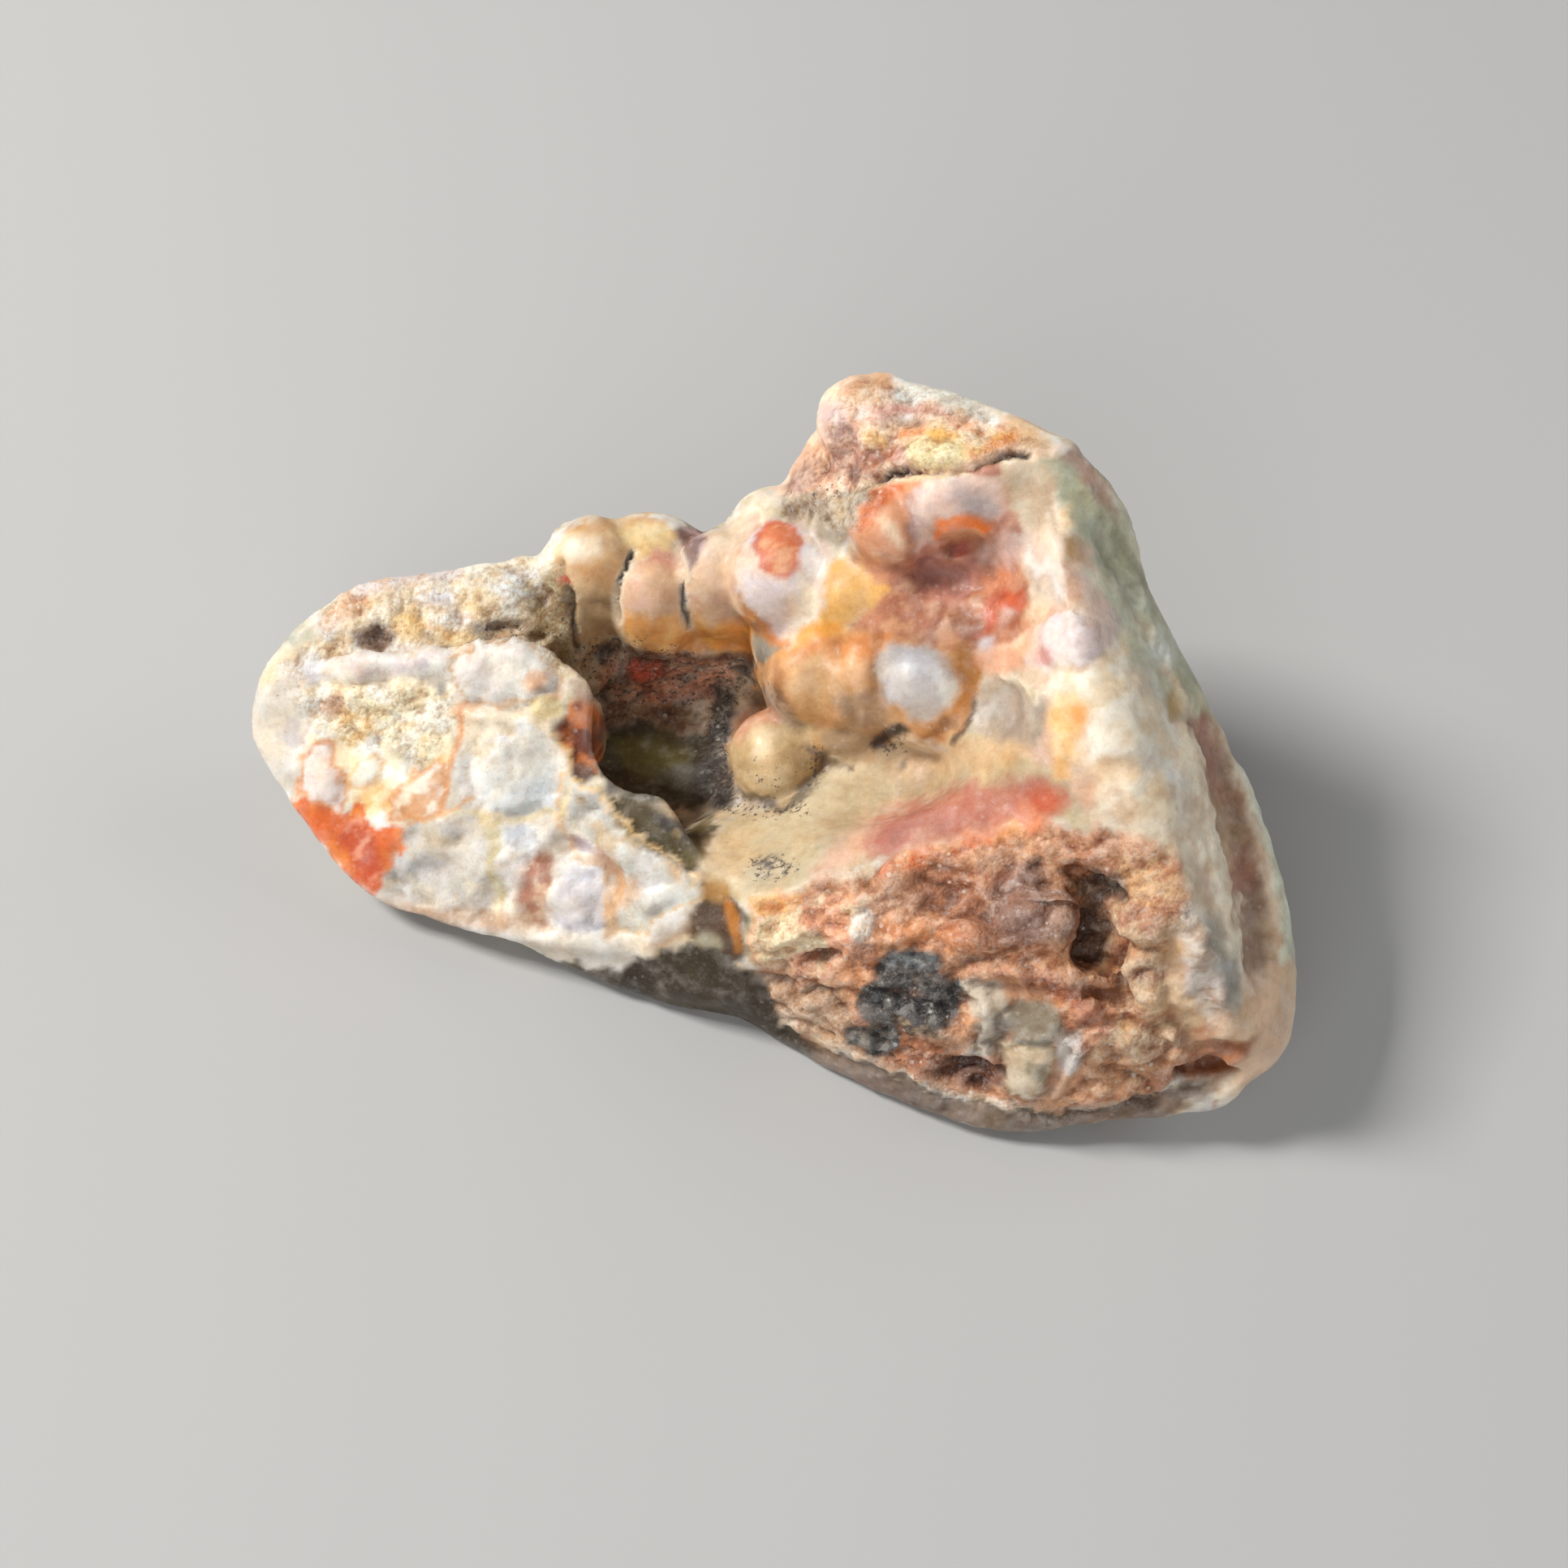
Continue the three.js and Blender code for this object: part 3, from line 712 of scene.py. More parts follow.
# Where each kind of surface lies: outlines in the frame.
GRAIN_PATCHES = [
    ("crust", [
        (375, 800), (400, 745), (440, 722), (560, 702), (690, 688), (705, 760), (720, 800), (690, 830),
        (660, 795), (560, 795), (470, 805), (400, 808)]),
    ("crust", [
        (352, 812), (385, 788), (470, 835), (560, 850), (565, 900), (520, 945), (430, 920), (380, 900),
        (366, 870), (352, 846)]),
    ("crust", [
        (1000, 560), (1035, 480), (1075, 462), (1180, 490), (1290, 545), (1260, 562), (1200, 570),
        (1100, 590), (1060, 650), (1000, 665), (965, 620)]),
    ("crust", [
        (700, 790), (760, 770), (860, 805), (950, 830), (905, 880), (900, 980), (880, 990), (865, 900),
        (750, 890)]),
    ("face", [
        (930, 1110), (1000, 1095), (1080, 1062), (1200, 1035), (1330, 1020), (1430, 1040), (1470, 1120),
        (1500, 1200), (1510, 1290), (1400, 1370), (1290, 1385), (1150, 1350), (1030, 1290), (950, 1250),
        (930, 1180)]),
    ("quartz", [
        (470, 1100), (500, 1020), (560, 1000), (570, 880), (600, 800), (680, 830), (700, 950),
        (760, 1020), (850, 1085), (780, 1150), (650, 1150)]),
    ("wax", [
        (1290, 560), (1370, 610), (1440, 730), (1510, 890), (1570, 1050), (1607, 1200), (1580, 1300),
        (1540, 1300), (1500, 1180), (1440, 1000), (1380, 860), (1320, 700)]),
    ("quartz", [
        (375, 820), (440, 800), (500, 808), (560, 795), (565, 830), (500, 845), (440, 845), (380, 850)]),
    ("quartz", [(1440, 1150), (1490, 1150), (1515, 1290), (1470, 1310), (1430, 1260)]),
    ("quartz", [
        (1190, 1215), (1235, 1200), (1300, 1240), (1320, 1290), (1335, 1320), (1300, 1350),
        (1240, 1350), (1215, 1300)]),
    ("wax", [
        (690, 690), (790, 637), (900, 635), (1010, 640), (1090, 720), (1210, 800), (1190, 920),
        (1020, 945), (960, 990), (900, 960), (905, 880), (930, 810), (860, 800), (720, 790)]),
    ("matte", [
        (895, 990), (896, 900), (925, 870), (985, 880), (1020, 930), (1120, 930), (1200, 880),
        (1210, 830), (1290, 850), (1340, 950), (1320, 1012), (1200, 1030), (1080, 1058), (930, 1095),
        (880, 1060)]),
]

# Where the long ridge of the right side is worn round.
WORN_RIDGE = [
    (1270, 545), (1340, 560), (1400, 680), (1470, 800), (1530, 900), (1570, 1010), (1590, 1150),
    (1560, 1260), (1520, 1260), (1480, 1120), (1430, 960), (1380, 840), (1320, 720), (1280, 640),
]


def swell(view, shape, at, size, lean, height):
    """Raises or sinks an oval patch of the relief, with a rounded top and a firm edge."""
    index, place = view.near([np.subtract(at, size), np.add(at, size)], SWELL_MARGIN)
    offset = place - at
    angle = math.radians(lean)
    along = offset[:, 0] * math.cos(angle) - offset[:, 1] * math.sin(angle)
    across = offset[:, 0] * math.sin(angle) + offset[:, 1] * math.cos(angle)
    reach = (along / size[0]) ** 2 + (across / size[1]) ** 2
    shape[index] += height * np.clip(1 - reach, 0, 1) ** SWELL_ROUNDNESS * view.seen[index]


def stroke(view, shape, line, half_width, height):
    """Raises or sinks a soft line of the relief."""
    index, place = view.near(line, LINE_REACH * half_width)
    reach = line_distance(place, line) / half_width
    shape[index] += height * np.exp(-reach ** 2) * view.seen[index]


def surface_kinds(view, points):
    """How far each point belongs to each kind of surface, which is crust or quartz where unseen."""
    kinds = {kind: np.zeros(len(points)) for kind in ("crust", "face", "quartz", "wax", "matte")}
    for kind, outline in GRAIN_PATCHES:
        index, place = view.near(outline, KIND_MARGIN)
        inward = -outline_distance(place, outline)
        share = ramp(inward, -KIND_SOFTNESS, KIND_SOFTNESS) * view.seen[index]
        for other in kinds:
            kinds[other][index] += ((other == kind) - kinds[other][index]) * share
    hidden = 1 - ramp(view.seen, 0, 0.5)
    drift = layered_noise(points, wave=8, seed=71, octaves=2)
    kinds["crust"] = np.maximum(kinds["crust"], hidden * ramp(drift, -0.05, 0.15))
    kinds["quartz"] = np.maximum(kinds["quartz"], hidden * ramp(-drift, 0.1, 0.3))
    return kinds


def eased(points, quads, share, rounds):
    """The points drawn towards the average of their surroundings, by a share."""
    around = np.stack([smoothed(points[:, axis], quads, rounds) for axis in range(3)], axis=1)
    return points + (around - points) * share[:, None]


def worn(points, quads, view):
    """The points with the long ridge of the right side worn round."""
    share = np.zeros(len(points))
    index, place = view.near(WORN_RIDGE, WEAR_MARGIN)
    share[index] = ramp(-outline_distance(place, WORN_RIDGE), -WEAR_SOFTNESS, WEAR_SOFTNESS)
    return eased(points, quads, share, WEAR_ROUNDS)


def depth_below(points, quads, rounds):
    """How far each point lies below its surroundings, in mm; negative on a ridge."""
    around = eased(points, quads, np.ones(len(points)), rounds)
    return np.sum((around - points) * point_normals(points, quads), axis=1)


def crust_relief(points):
    """Grains, lumps and crumbs of the crust."""
    grains = nearest_spot(points, wave=0.9, seed=6)
    lumps = nearest_spot(points, wave=2.1, seed=7)
    crumbs = layered_noise(points, wave=1.8, seed=8, octaves=4, falloff=0.65)
    return 0.22 - 0.12 * grains - 0.3 * lumps + 0.24 * crumbs


def face_relief(points, bend):
    """Crags all over the broken face, and chips and crumbs on part of it."""
    bent = points + 0.9 * bend
    crags = np.abs(layered_noise(bent * (0.8, 1, 1.3), wave=3.6, seed=9))
    chips = crystal_noise(bent * (1, 1, 1.3), wave=1.9, seed=12)
    crumbs = layered_noise(points, wave=1.1, seed=16, falloff=0.6)
    broken = ramp(smooth_noise(points, wave=3.2, seed=14), -0.35, 0.25)
    return 1.0 * crags - 0.2 + broken * (0.5 * chips + 0.2 + 0.2 * crumbs)


def quartz_relief(points, bend):
    """Big facets of quartz, with small ones where it is sugary, and a faint unevenness."""
    facets = crystal_noise(points + 0.3 * bend, wave=3.4, seed=15)
    small_facets = crystal_noise(points, wave=1.3, seed=17)
    sugary = ramp(smooth_noise(points, wave=3.4, seed=19), -0.1, 0.3)
    uneven = layered_noise(points, wave=2.4, seed=18)
    return 0.4 + 1.45 * facets + 0.34 * sugary * small_facets + 0.08 * uneven


def weathered(points, quads, view, kinds):
    """The points moved in and out by the stone's relief, but none where it stands on the floor."""
    normals = point_normals(points, quads)
    firm = 1 - kinds["wax"] - kinds["matte"]
    shape = 0.32 * layered_noise(points, wave=6, seed=3) * (0.3 + 0.7 * firm)
    shape += 0.05 * layered_noise(points, wave=1.6, seed=4, octaves=2)
    bend = noise_vectors(points, wave=2.4, seeds=(41, 42, 43))
    shape += kinds["crust"] * crust_relief(points)
    shape += kinds["face"] * face_relief(points, bend)
    shape += kinds["quartz"] * quartz_relief(points, bend)
    for swelling in SWELLS.values():
        swell(view, shape, *swelling)
    for line in STROKES.values():
        stroke(view, shape, *line)
    level = ramp(points[:, 2], *FOOT)
    moved = points + normals * (shape * level)[:, None]
    low, high = [np.array(corner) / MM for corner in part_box("ocean_jasper")]
    return np.clip(moved, low, high)


# ---------------------------------------------------------------- the colours

# Colours that several patches share, as screen values.
CREAM = (240, 220, 178)
PALE_CREAM = (244, 234, 212)
WHITE = (238, 236, 232)
LAVENDER = (218, 206, 208)
PINK_TAN = (220, 176, 148)
PEACH = (230, 178, 134)
HONEY = (212, 158, 104)
BRICK = (176, 96, 66)
BROWN = (176, 118, 86)
SOOT = (58, 52, 50)
PALE_GREEN = (198, 198, 170)

# The points of an oval's outline.
OVAL_CORNERS = 14

# How far around a patch and around an outline of dark grains the points are looked up, in pixels,
# and half the width of the edge of the grains.
PATCH_MARGIN = 30
SPECK_MARGIN = 20
SPECK_SOFTNESS = 8

# How strong a patch's vein is at its middle.
VEIN_STRENGTH = 0.85

# A patch's flecks: the wave of their noise for each mm of their size, how far a share of 1 lowers
# the level of noise where they start, and the first patch's seed.
FLECK_WAVE = 1.6
FLECK_SPREAD = 1.3
FIRST_FLECK_SEED = 200

# What the dirt and the painted shade in the hollows and in the creases multiply the colour by.
HOLLOW_DIRT_AND_SHADE = (0.45, 0.32, 0.24)
CREASE_DIRT_AND_SHADE = (0.5, 0.36, 0.26)

# The most light that the stone reflects.
BRIGHTEST = 0.95


class Patch:
    """A patch of colour: its outline in the frame, and how it mixes with what lies under it.

    soft is half the width of its edge in pixels, and strength how fully it covers. vein colours
    its edge, as (colour, half width). mix breaks it up with a second colour, as (colour, size of
    the flecks in mm, share).
    """

    def __init__(self, colour, outline, soft=5, strength=0.95, vein=None, mix=None):
        self.colour = colour
        self.outline = outline
        self.soft = soft
        self.strength = strength
        self.vein = vein
        self.mix = mix


def oval(at, size, lean=0):
    """The outline of an oval mark, leaning anticlockwise."""
    outline = []
    angle = math.radians(lean)
    for turn in np.linspace(0, 2 * math.pi, OVAL_CORNERS, endpoint=False):
        along, across = size[0] * math.cos(turn), size[1] * math.sin(turn)
        outline.append((at[0] + along * math.cos(angle) + across * math.sin(angle),
                        at[1] - along * math.sin(angle) + across * math.cos(angle)))
    return outline


# The patches of colour, in the order they are laid on.
PATCHES = {
    # the left tip and the crusty rim behind the block
    "tip": Patch((226, 218, 204), [
        (300, 880), (315, 830), (345, 800), (390, 785), (392, 820), (372, 850), (378, 890), (362, 935),
        (352, 990), (330, 970), (305, 925)], mix=((208, 200, 196), 1.8, 0.35)),
    "tip cream": Patch(CREAM, [
        (318, 835), (345, 800), (390, 782), (385, 800), (350, 820), (325, 850)], 6, 0.8),
    "tip brown edge": Patch(BRICK, [
        (350, 985), (362, 935), (376, 900), (382, 915), (366, 960), (362, 1000)], 5, 0.7),
    "rim": Patch((244, 236, 216), [
        (385, 790), (398, 740), (440, 715), (560, 695), (640, 680), (700, 676), (712, 800), (690, 830),
        (660, 790), (560, 800), (470, 812), (400, 812)], 4, 1, mix=((236, 218, 182), 1.4, 0.4)),
    "rim white 2": Patch((244, 248, 246), [
        (596, 722), (620, 704), (672, 700), (680, 720), (650, 740), (624, 738), (604, 734)], 6, 0.8,
        mix=((246, 234, 192), 0.8, 0.4)),
    "rim white 3": Patch(
        (232, 236, 246), oval((535, 736), (26, 14)), 6, 0.75, mix=((236, 222, 196), 0.8, 0.4)),
    "rim blue-white": Patch((226, 228, 228), oval((405, 776), (14, 12), 30), 6, 0.8),
    "rim edge": Patch(LAVENDER, [
        (420, 735), (450, 712), (560, 695), (570, 712), (480, 728), (430, 748)], 8, 0.7,
        mix=(PINK_TAN, 1.0, 0.4)),
    "rim orange": Patch(PEACH, oval((425, 755), (34, 14), 30), 8, 0.7),
    "rim gold 1": Patch((238, 204, 136), oval((502, 772), (24, 22)), 7, 0.8, mix=(CREAM, 0.8, 0.4)),
    "rim gold 2": Patch(
        (238, 204, 136), oval((590, 745), (30, 18), -10), 8, 0.7, mix=(CREAM, 0.8, 0.5)),
    "rim gold 3": Patch((238, 204, 136), oval((560, 785), (24, 12)), 6, 0.7),
    "rim white": Patch(WHITE, oval((562, 765), (18, 11)), 5, 0.85),
    "rim hole": Patch(
        (168, 140, 116), oval((462, 787), (28, 20)), 5, 0.9, mix=((108, 84, 70), 0.7, 0.45)),
    "rim hole 2": Patch(
        (176, 146, 104), oval((620, 774), (50, 12), 3), 5, 0.8, mix=((88, 68, 52), 0.6, 0.5)),
    "olive crust": Patch((176, 148, 96), [
        (650, 770), (664, 715), (690, 690), (704, 730), (714, 790), (700, 840), (690, 820), (676, 790)],
        12, 0.85, mix=((120, 100, 60), 1.2, 0.4)),
    # the block
    "block": Patch((240, 234, 224), [
        (372, 815), (470, 800), (560, 795), (600, 785), (660, 795), (695, 850), (690, 910), (735, 985),
        (800, 1040), (875, 1085), (850, 1140), (780, 1195), (600, 1190), (440, 1140), (340, 985),
        (375, 900)], 5, 1, mix=((218, 208, 192), 2.0, 0.4)),
    "block top": Patch(WHITE, [
        (370, 815), (440, 800), (500, 812), (560, 795), (560, 825), (500, 838), (440, 838), (380, 845)],
        6, 0.85, mix=(LAVENDER, 1.2, 0.4)),
    "cream zone": Patch((248, 236, 202), [
        (372, 850), (420, 842), (490, 836), (555, 846), (565, 880), (566, 935), (545, 1000),
        (505, 1015), (440, 1000), (372, 985), (362, 950), (380, 905)], 7, 1,
        mix=((252, 250, 236), 1.3, 0.5)),
    "gold crumbs": Patch((232, 186, 108), [
        (396, 884), (420, 872), (450, 884), (466, 900), (440, 920), (410, 914)], 7, 0.75,
        mix=((248, 230, 190), 0.7, 0.45)),
    "gold crumbs 2": Patch((236, 196, 122), oval((536, 946), (26, 10), 30), 6, 0.75),
    "peach crumbs": Patch((232, 176, 122), oval((572, 874), (18, 12), 20), 5, 0.85),
    "brown crumbs": Patch((204, 146, 96), oval((412, 868), (18, 14), 20), 6, 0.7),
    "grey gem": Patch((158, 156, 152), oval((541, 848), (6, 8)), 3, 0.9),
    "yellow crumbs": Patch((234, 184, 110), [
        (434, 985), (452, 970), (476, 960), (490, 975), (480, 996), (460, 1004), (440, 1000)], 6, 0.85,
        mix=((250, 226, 176), 0.7, 0.4)),
    "pinkish oval": Patch((240, 224, 212), [
        (365, 958), (374, 932), (396, 914), (412, 918), (416, 940), (430, 958), (430, 985), (414, 998),
        (390, 990), (368, 978)], 3, 1, vein=((226, 152, 92), 3.5), mix=(PINK_TAN, 1.2, 0.3)),
    "white oval": Patch(PALE_CREAM, [
        (432, 956), (445, 940), (464, 932), (474, 942), (464, 962), (446, 974), (432, 970)], 3, 0.95,
        vein=((232, 184, 124), 3)),
    "cream oval": Patch((250, 236, 214), [
        (482, 985), (498, 970), (514, 950), (545, 938), (553, 950), (546, 980), (534, 1000),
        (506, 1012), (482, 1006)], 3, 1, vein=((230, 156, 92), 3.5), mix=(PEACH, 1.0, 0.3)),
    "orange patch": Patch((222, 108, 48), [
        (362, 985), (395, 992), (425, 1000), (452, 995), (462, 1015), (482, 1012), (500, 1020),
        (492, 1050), (478, 1070), (466, 1098), (456, 1110), (440, 1092), (428, 1070), (412, 1052),
        (390, 1030), (370, 1005)], 3, 1, mix=((240, 140, 66), 1.5, 0.35)),
    "red heart": Patch((196, 80, 46), [
        (425, 1010), (452, 1005), (466, 1025), (468, 1060), (460, 1098), (444, 1082), (432, 1050),
        (420, 1030)], 6, 0.9, mix=((226, 150, 120), 0.5, 0.28)),
    "foot of the block": Patch(PINK_TAN, [
        (430, 1075), (452, 1105), (480, 1125), (560, 1145), (560, 1165), (470, 1150), (430, 1110)], 7,
        0.8, mix=(WHITE, 0.9, 0.4)),
    "grey quartz": Patch((206, 198, 186), [
        (500, 1016), (550, 1008), (600, 1000), (612, 1060), (606, 1110), (640, 1150), (560, 1142),
        (480, 1126), (464, 1104), (474, 1072), (492, 1048)], 5, 0.9, mix=((204, 190, 166), 1.2, 0.38)),
    "grey heart": Patch((200, 196, 186), [
        (560, 1030), (600, 1025), (606, 1070), (590, 1110), (560, 1100), (545, 1070)], 12, 0.55,
        mix=((222, 212, 184), 1.0, 0.4)),
    "brown foot": Patch((190, 148, 110), [
        (455, 1112), (490, 1112), (540, 1122), (600, 1120), (650, 1130), (680, 1150), (640, 1152),
        (590, 1142), (540, 1145), (490, 1138), (460, 1128)], 6, 0.75, mix=((228, 204, 176), 0.9, 0.45)),
    "olive vein": Patch((206, 186, 130), [
        (590, 1002), (640, 1002), (640, 1014), (618, 1022), (616, 1060), (622, 1100), (612, 1130),
        (600, 1120), (604, 1060), (598, 1024)], 5, 0.8, mix=((232, 218, 178), 0.8, 0.45)),
    "glassy spot": Patch(WHITE, oval((560, 1060), (36, 18), 30), 12, 0.6),
    "cream quartz": Patch((236, 218, 186), [
        (560, 870), (600, 875), (680, 868), (692, 905), (640, 905), (590, 935), (566, 940)], 8, 0.85),
    "blue quartz": Patch((216, 216, 210), [
        (590, 960), (598, 930), (620, 908), (650, 895), (674, 905), (686, 940), (684, 976), (664, 995),
        (640, 1008), (614, 1010), (598, 990)], 9, 0.95, vein=((236, 236, 234), 4)),
    "shade of the blue quartz": Patch((186, 192, 192), [
        (640, 960), (676, 930), (684, 965), (664, 992), (636, 1004), (618, 990)], 12, 0.75),
    "white by the vein": Patch(WHITE, oval((580, 960), (18, 30), 20), 7, 0.7),
    "white knob": Patch((218, 214, 204), [
        (560, 810), (590, 790), (625, 784), (656, 795), (674, 815), (690, 842), (690, 860), (674, 866),
        (650, 862), (620, 872), (588, 868), (566, 850)], 4, 0.95, mix=((222, 212, 202), 1.6, 0.45),
        vein=((220, 178, 128), 3)),
    "peach crystal": Patch(PEACH, oval((666, 838), (14, 12), 20), 5, 0.85),
    "yellow crystal": Patch((238, 214, 150), oval((676, 872), (18, 14), -20), 5, 0.8),
    "crumbly edge": Patch((214, 210, 198), [
        (688, 950), (705, 955), (722, 965), (748, 1000), (778, 1025), (800, 1042), (850, 1072),
        (880, 1088), (850, 1115), (800, 1142), (758, 1152), (742, 1100), (735, 1060), (700, 1040),
        (684, 1012), (688, 980)], 4, 1, mix=((206, 184, 150), 1.1, 0.35), vein=((236, 196, 140), 2.5)),
    "lavender crystals": Patch(
        (186, 172, 178), oval((712, 1038), (24, 12), -25), 3, 0.9, vein=((238, 234, 226), 3)),
    "pink crystals": Patch((222, 176, 148), oval((742, 1062), (14, 20), 20), 5, 0.8),
    "orange crystals": Patch((232, 190, 150), oval((772, 1100), (26, 16), 40), 7, 0.7),
    "small blue crystals": Patch((202, 200, 198), [
        (616, 1020), (640, 1014), (664, 1022), (662, 1042), (636, 1048), (618, 1040)], 3, 0.85,
        vein=((240, 236, 224), 3)),
    "brown-pink patch": Patch((162, 98, 66), [
        (640, 1066), (660, 1048), (678, 1055), (683, 1086), (674, 1116), (680, 1146), (648, 1140),
        (636, 1106)], 8, 0.9, mix=((202, 164, 132), 0.8, 0.45)),
    "lavender quartz": Patch((208, 204, 208), [
        (684, 1076), (702, 1064), (730, 1070), (748, 1088), (752, 1112), (744, 1150), (700, 1152),
        (680, 1140), (682, 1110)], 4, 0.9, vein=((240, 236, 228), 3.5),
        mix=((226, 222, 222), 1.4, 0.4)),
    "tan column": Patch((206, 158, 112), [
        (752, 1056), (766, 1056), (772, 1090), (766, 1112), (756, 1104)], 4, 0.8),
    "tan column 2": Patch((214, 168, 118), [
        (744, 1110), (762, 1112), (760, 1140), (752, 1168), (740, 1160)], 5, 0.75),
    "white crystals": Patch(WHITE, [
        (786, 1062), (806, 1050), (822, 1060), (818, 1092), (800, 1108), (786, 1096)], 5, 0.8),
    "tan streak": Patch((214, 172, 122), [
        (818, 1052), (834, 1060), (842, 1078), (836, 1090), (826, 1074)], 4, 0.7),
    "shaded end": Patch((170, 140, 106), [
        (770, 1176), (820, 1152), (858, 1120), (876, 1092), (868, 1120), (846, 1150), (820, 1172)], 10,
        0.75),
    "pale foot": Patch((232, 222, 204), [
        (640, 1160), (700, 1150), (740, 1156), (790, 1150), (800, 1160), (790, 1180), (740, 1192),
        (680, 1186)], 6, 0.85),
    # Orange-brown flank, painted much darker: painted shade on the side facing away from the light.
    "flank": Patch((106, 44, 4), [
        (690, 890), (702, 862), (724, 856), (742, 880), (748, 920), (740, 955), (718, 962), (702, 942),
        (692, 915)], 5, 1, mix=((192, 106, 34), 1.0, 0.4)),
    "flank top": Patch((150, 120, 96), oval((716, 852), (18, 12), -40), 6, 0.8),
    "flank foot": Patch((90, 70, 62), oval((718, 952), (14, 12), -30), 5, 0.8),
    # the pocket
    # The pocket's wall is painted lighter: painted light in place of fill light that doesn't reach it.
    "pocket": Patch((210, 190, 162), [
        (695, 830), (720, 785), (860, 800), (935, 795), (955, 830), (940, 855), (912, 880), (898, 930),
        (906, 975), (890, 1005), (870, 1040), (850, 1075), (800, 1040), (745, 995), (735, 940),
        (745, 880), (720, 840)], 4, 1, mix=((116, 106, 98), 0.7, 0.42)),
    "red of the wall": Patch((230, 160, 134), [
        (735, 825), (770, 805), (860, 805), (905, 830), (880, 860), (810, 875), (755, 865)], 9, 0.75,
        mix=((156, 130, 116), 0.7, 0.45)),
    "red-brown oval": Patch(
        (212, 96, 70), oval((795, 823), (26, 16)), 4, 0.95, vein=((110, 74, 62), 3)),
    "brown wall": Patch((150, 110, 78), [
        (745, 866), (800, 874), (850, 868), (858, 900), (790, 892), (750, 890)], 8, 0.85),
    # Dark olive floor of the pocket: the olive is its own, the darkness is painted shadow of the block.
    "pocket floor in painted shadow": Patch((70, 62, 28), [
        (742, 892), (800, 893), (858, 902), (880, 940), (876, 985), (862, 1002), (800, 992), (760, 985),
        (736, 950)], 6, 0.95, mix=((50, 44, 18), 1.6, 0.4)),
    "olive of the floor": Patch((98, 92, 44), [
        (752, 905), (800, 900), (836, 915), (836, 940), (800, 958), (770, 950)], 8, 0.8),
    "painted shadow deep in the pocket": Patch((44, 36, 26), oval((868, 950), (18, 46)), 8, 0.8),
    # Olive lip of the pocket, painted dark: painted shadow cast by the block's edge.
    "front lip in painted shadow": Patch((70, 58, 22), [
        (742, 980), (775, 980), (800, 992), (850, 1022), (885, 1005), (870, 1050), (852, 1070),
        (800, 1044), (760, 1014)], 8, 0.95, mix=((88, 78, 38), 1.4, 0.4)),
    "lip soot": Patch(SOOT, [
        (800, 1004), (820, 1006), (850, 1022), (862, 1040), (840, 1034), (812, 1020)], 4, 0.85,
        mix=((150, 132, 90), 0.5, 0.35)),
    "soot by the ball": Patch((96, 90, 82), [
        (880, 850), (905, 850), (905, 890), (896, 930), (905, 970), (900, 1000), (880, 1000), (872, 920)],
        7, 0.9, mix=((40, 38, 36), 0.5, 0.5)),
    # the rim lumps
    "lump 1": Patch((226, 192, 146), [
        (684, 690), (700, 650), (740, 634), (800, 632), (832, 650), (822, 680), (775, 690), (764, 720),
        (762, 770), (740, 800), (714, 790), (704, 740)], 4, 1, mix=((214, 170, 118), 2.4, 0.4)),
    # A painted highlight on the pale dome of the first lump.
    "painted highlight on lump 1": Patch((238, 226, 204), oval((718, 676), (26, 18), 20), 10, 0.8),
    "lump 1 honey": Patch((204, 148, 86), oval((738, 704), (32, 14), -4), 10, 0.8),
    "lump 1 foot": Patch((202, 170, 128), [
        (706, 735), (762, 735), (764, 775), (740, 800), (714, 790)], 7, 0.85,
        mix=((150, 124, 92), 0.8, 0.35)),
    "lump 1 crust": Patch((238, 212, 156), [
        (758, 655), (790, 643), (822, 648), (830, 662), (820, 680), (798, 684), (774, 680)], 6, 0.9,
        mix=((220, 182, 116), 0.8, 0.4)),
    "gap": Patch((122, 86, 78), [
        (830, 650), (872, 645), (872, 668), (860, 694), (850, 704), (838, 690), (834, 668)], 4, 0.95,
        mix=((186, 150, 144), 0.5, 0.35)),
    "lump 2": Patch((220, 180, 144), [
        (764, 702), (790, 688), (822, 678), (836, 690), (842, 715), (840, 740), (852, 770), (866, 792),
        (850, 808), (800, 800), (770, 780), (760, 745)], 4, 1, mix=(PINK_TAN, 1.8, 0.35)),
    "lump 2 pink": Patch((208, 140, 116), oval((822, 690), (22, 10), -20), 7, 0.75),
    "lump 2 foot": Patch((234, 164, 86), [
        (764, 748), (800, 762), (842, 758), (858, 780), (862, 802), (800, 804), (768, 786)], 9, 0.95,
        mix=((252, 196, 118), 1.5, 0.4)),
    "lump 3": Patch((222, 188, 156), [
        (846, 720), (856, 690), (874, 660), (910, 640), (940, 640), (916, 680), (906, 710), (918, 745),
        (930, 790), (925, 812), (880, 800), (852, 770)], 4, 1, mix=((206, 166, 138), 1.8, 0.35)),
    "lump 3 foot": Patch((232, 156, 68), [
        (852, 758), (880, 768), (926, 764), (932, 800), (922, 814), (880, 802), (858, 782)], 9, 0.95,
        mix=((252, 188, 92), 1.5, 0.4)),
    "lump 3 top": Patch((236, 212, 180), oval((900, 660), (26, 14), 30), 8, 0.8),
    "shadowed foot": Patch((110, 62, 36), [
        (760, 790), (800, 802), (860, 806), (926, 806), (926, 818), (860, 818), (790, 816)], 5, 0.75),
    "sliver": Patch((150, 144, 128), [
        (929, 756), (946, 768), (964, 788), (966, 800), (950, 812), (936, 814), (928, 800)], 3, 0.9),
    # the eye lump and its neighbours
    "eye lump": Patch((232, 208, 186), [
        (905, 705), (912, 680), (930, 655), (960, 638), (1010, 640), (1020, 680), (1020, 745),
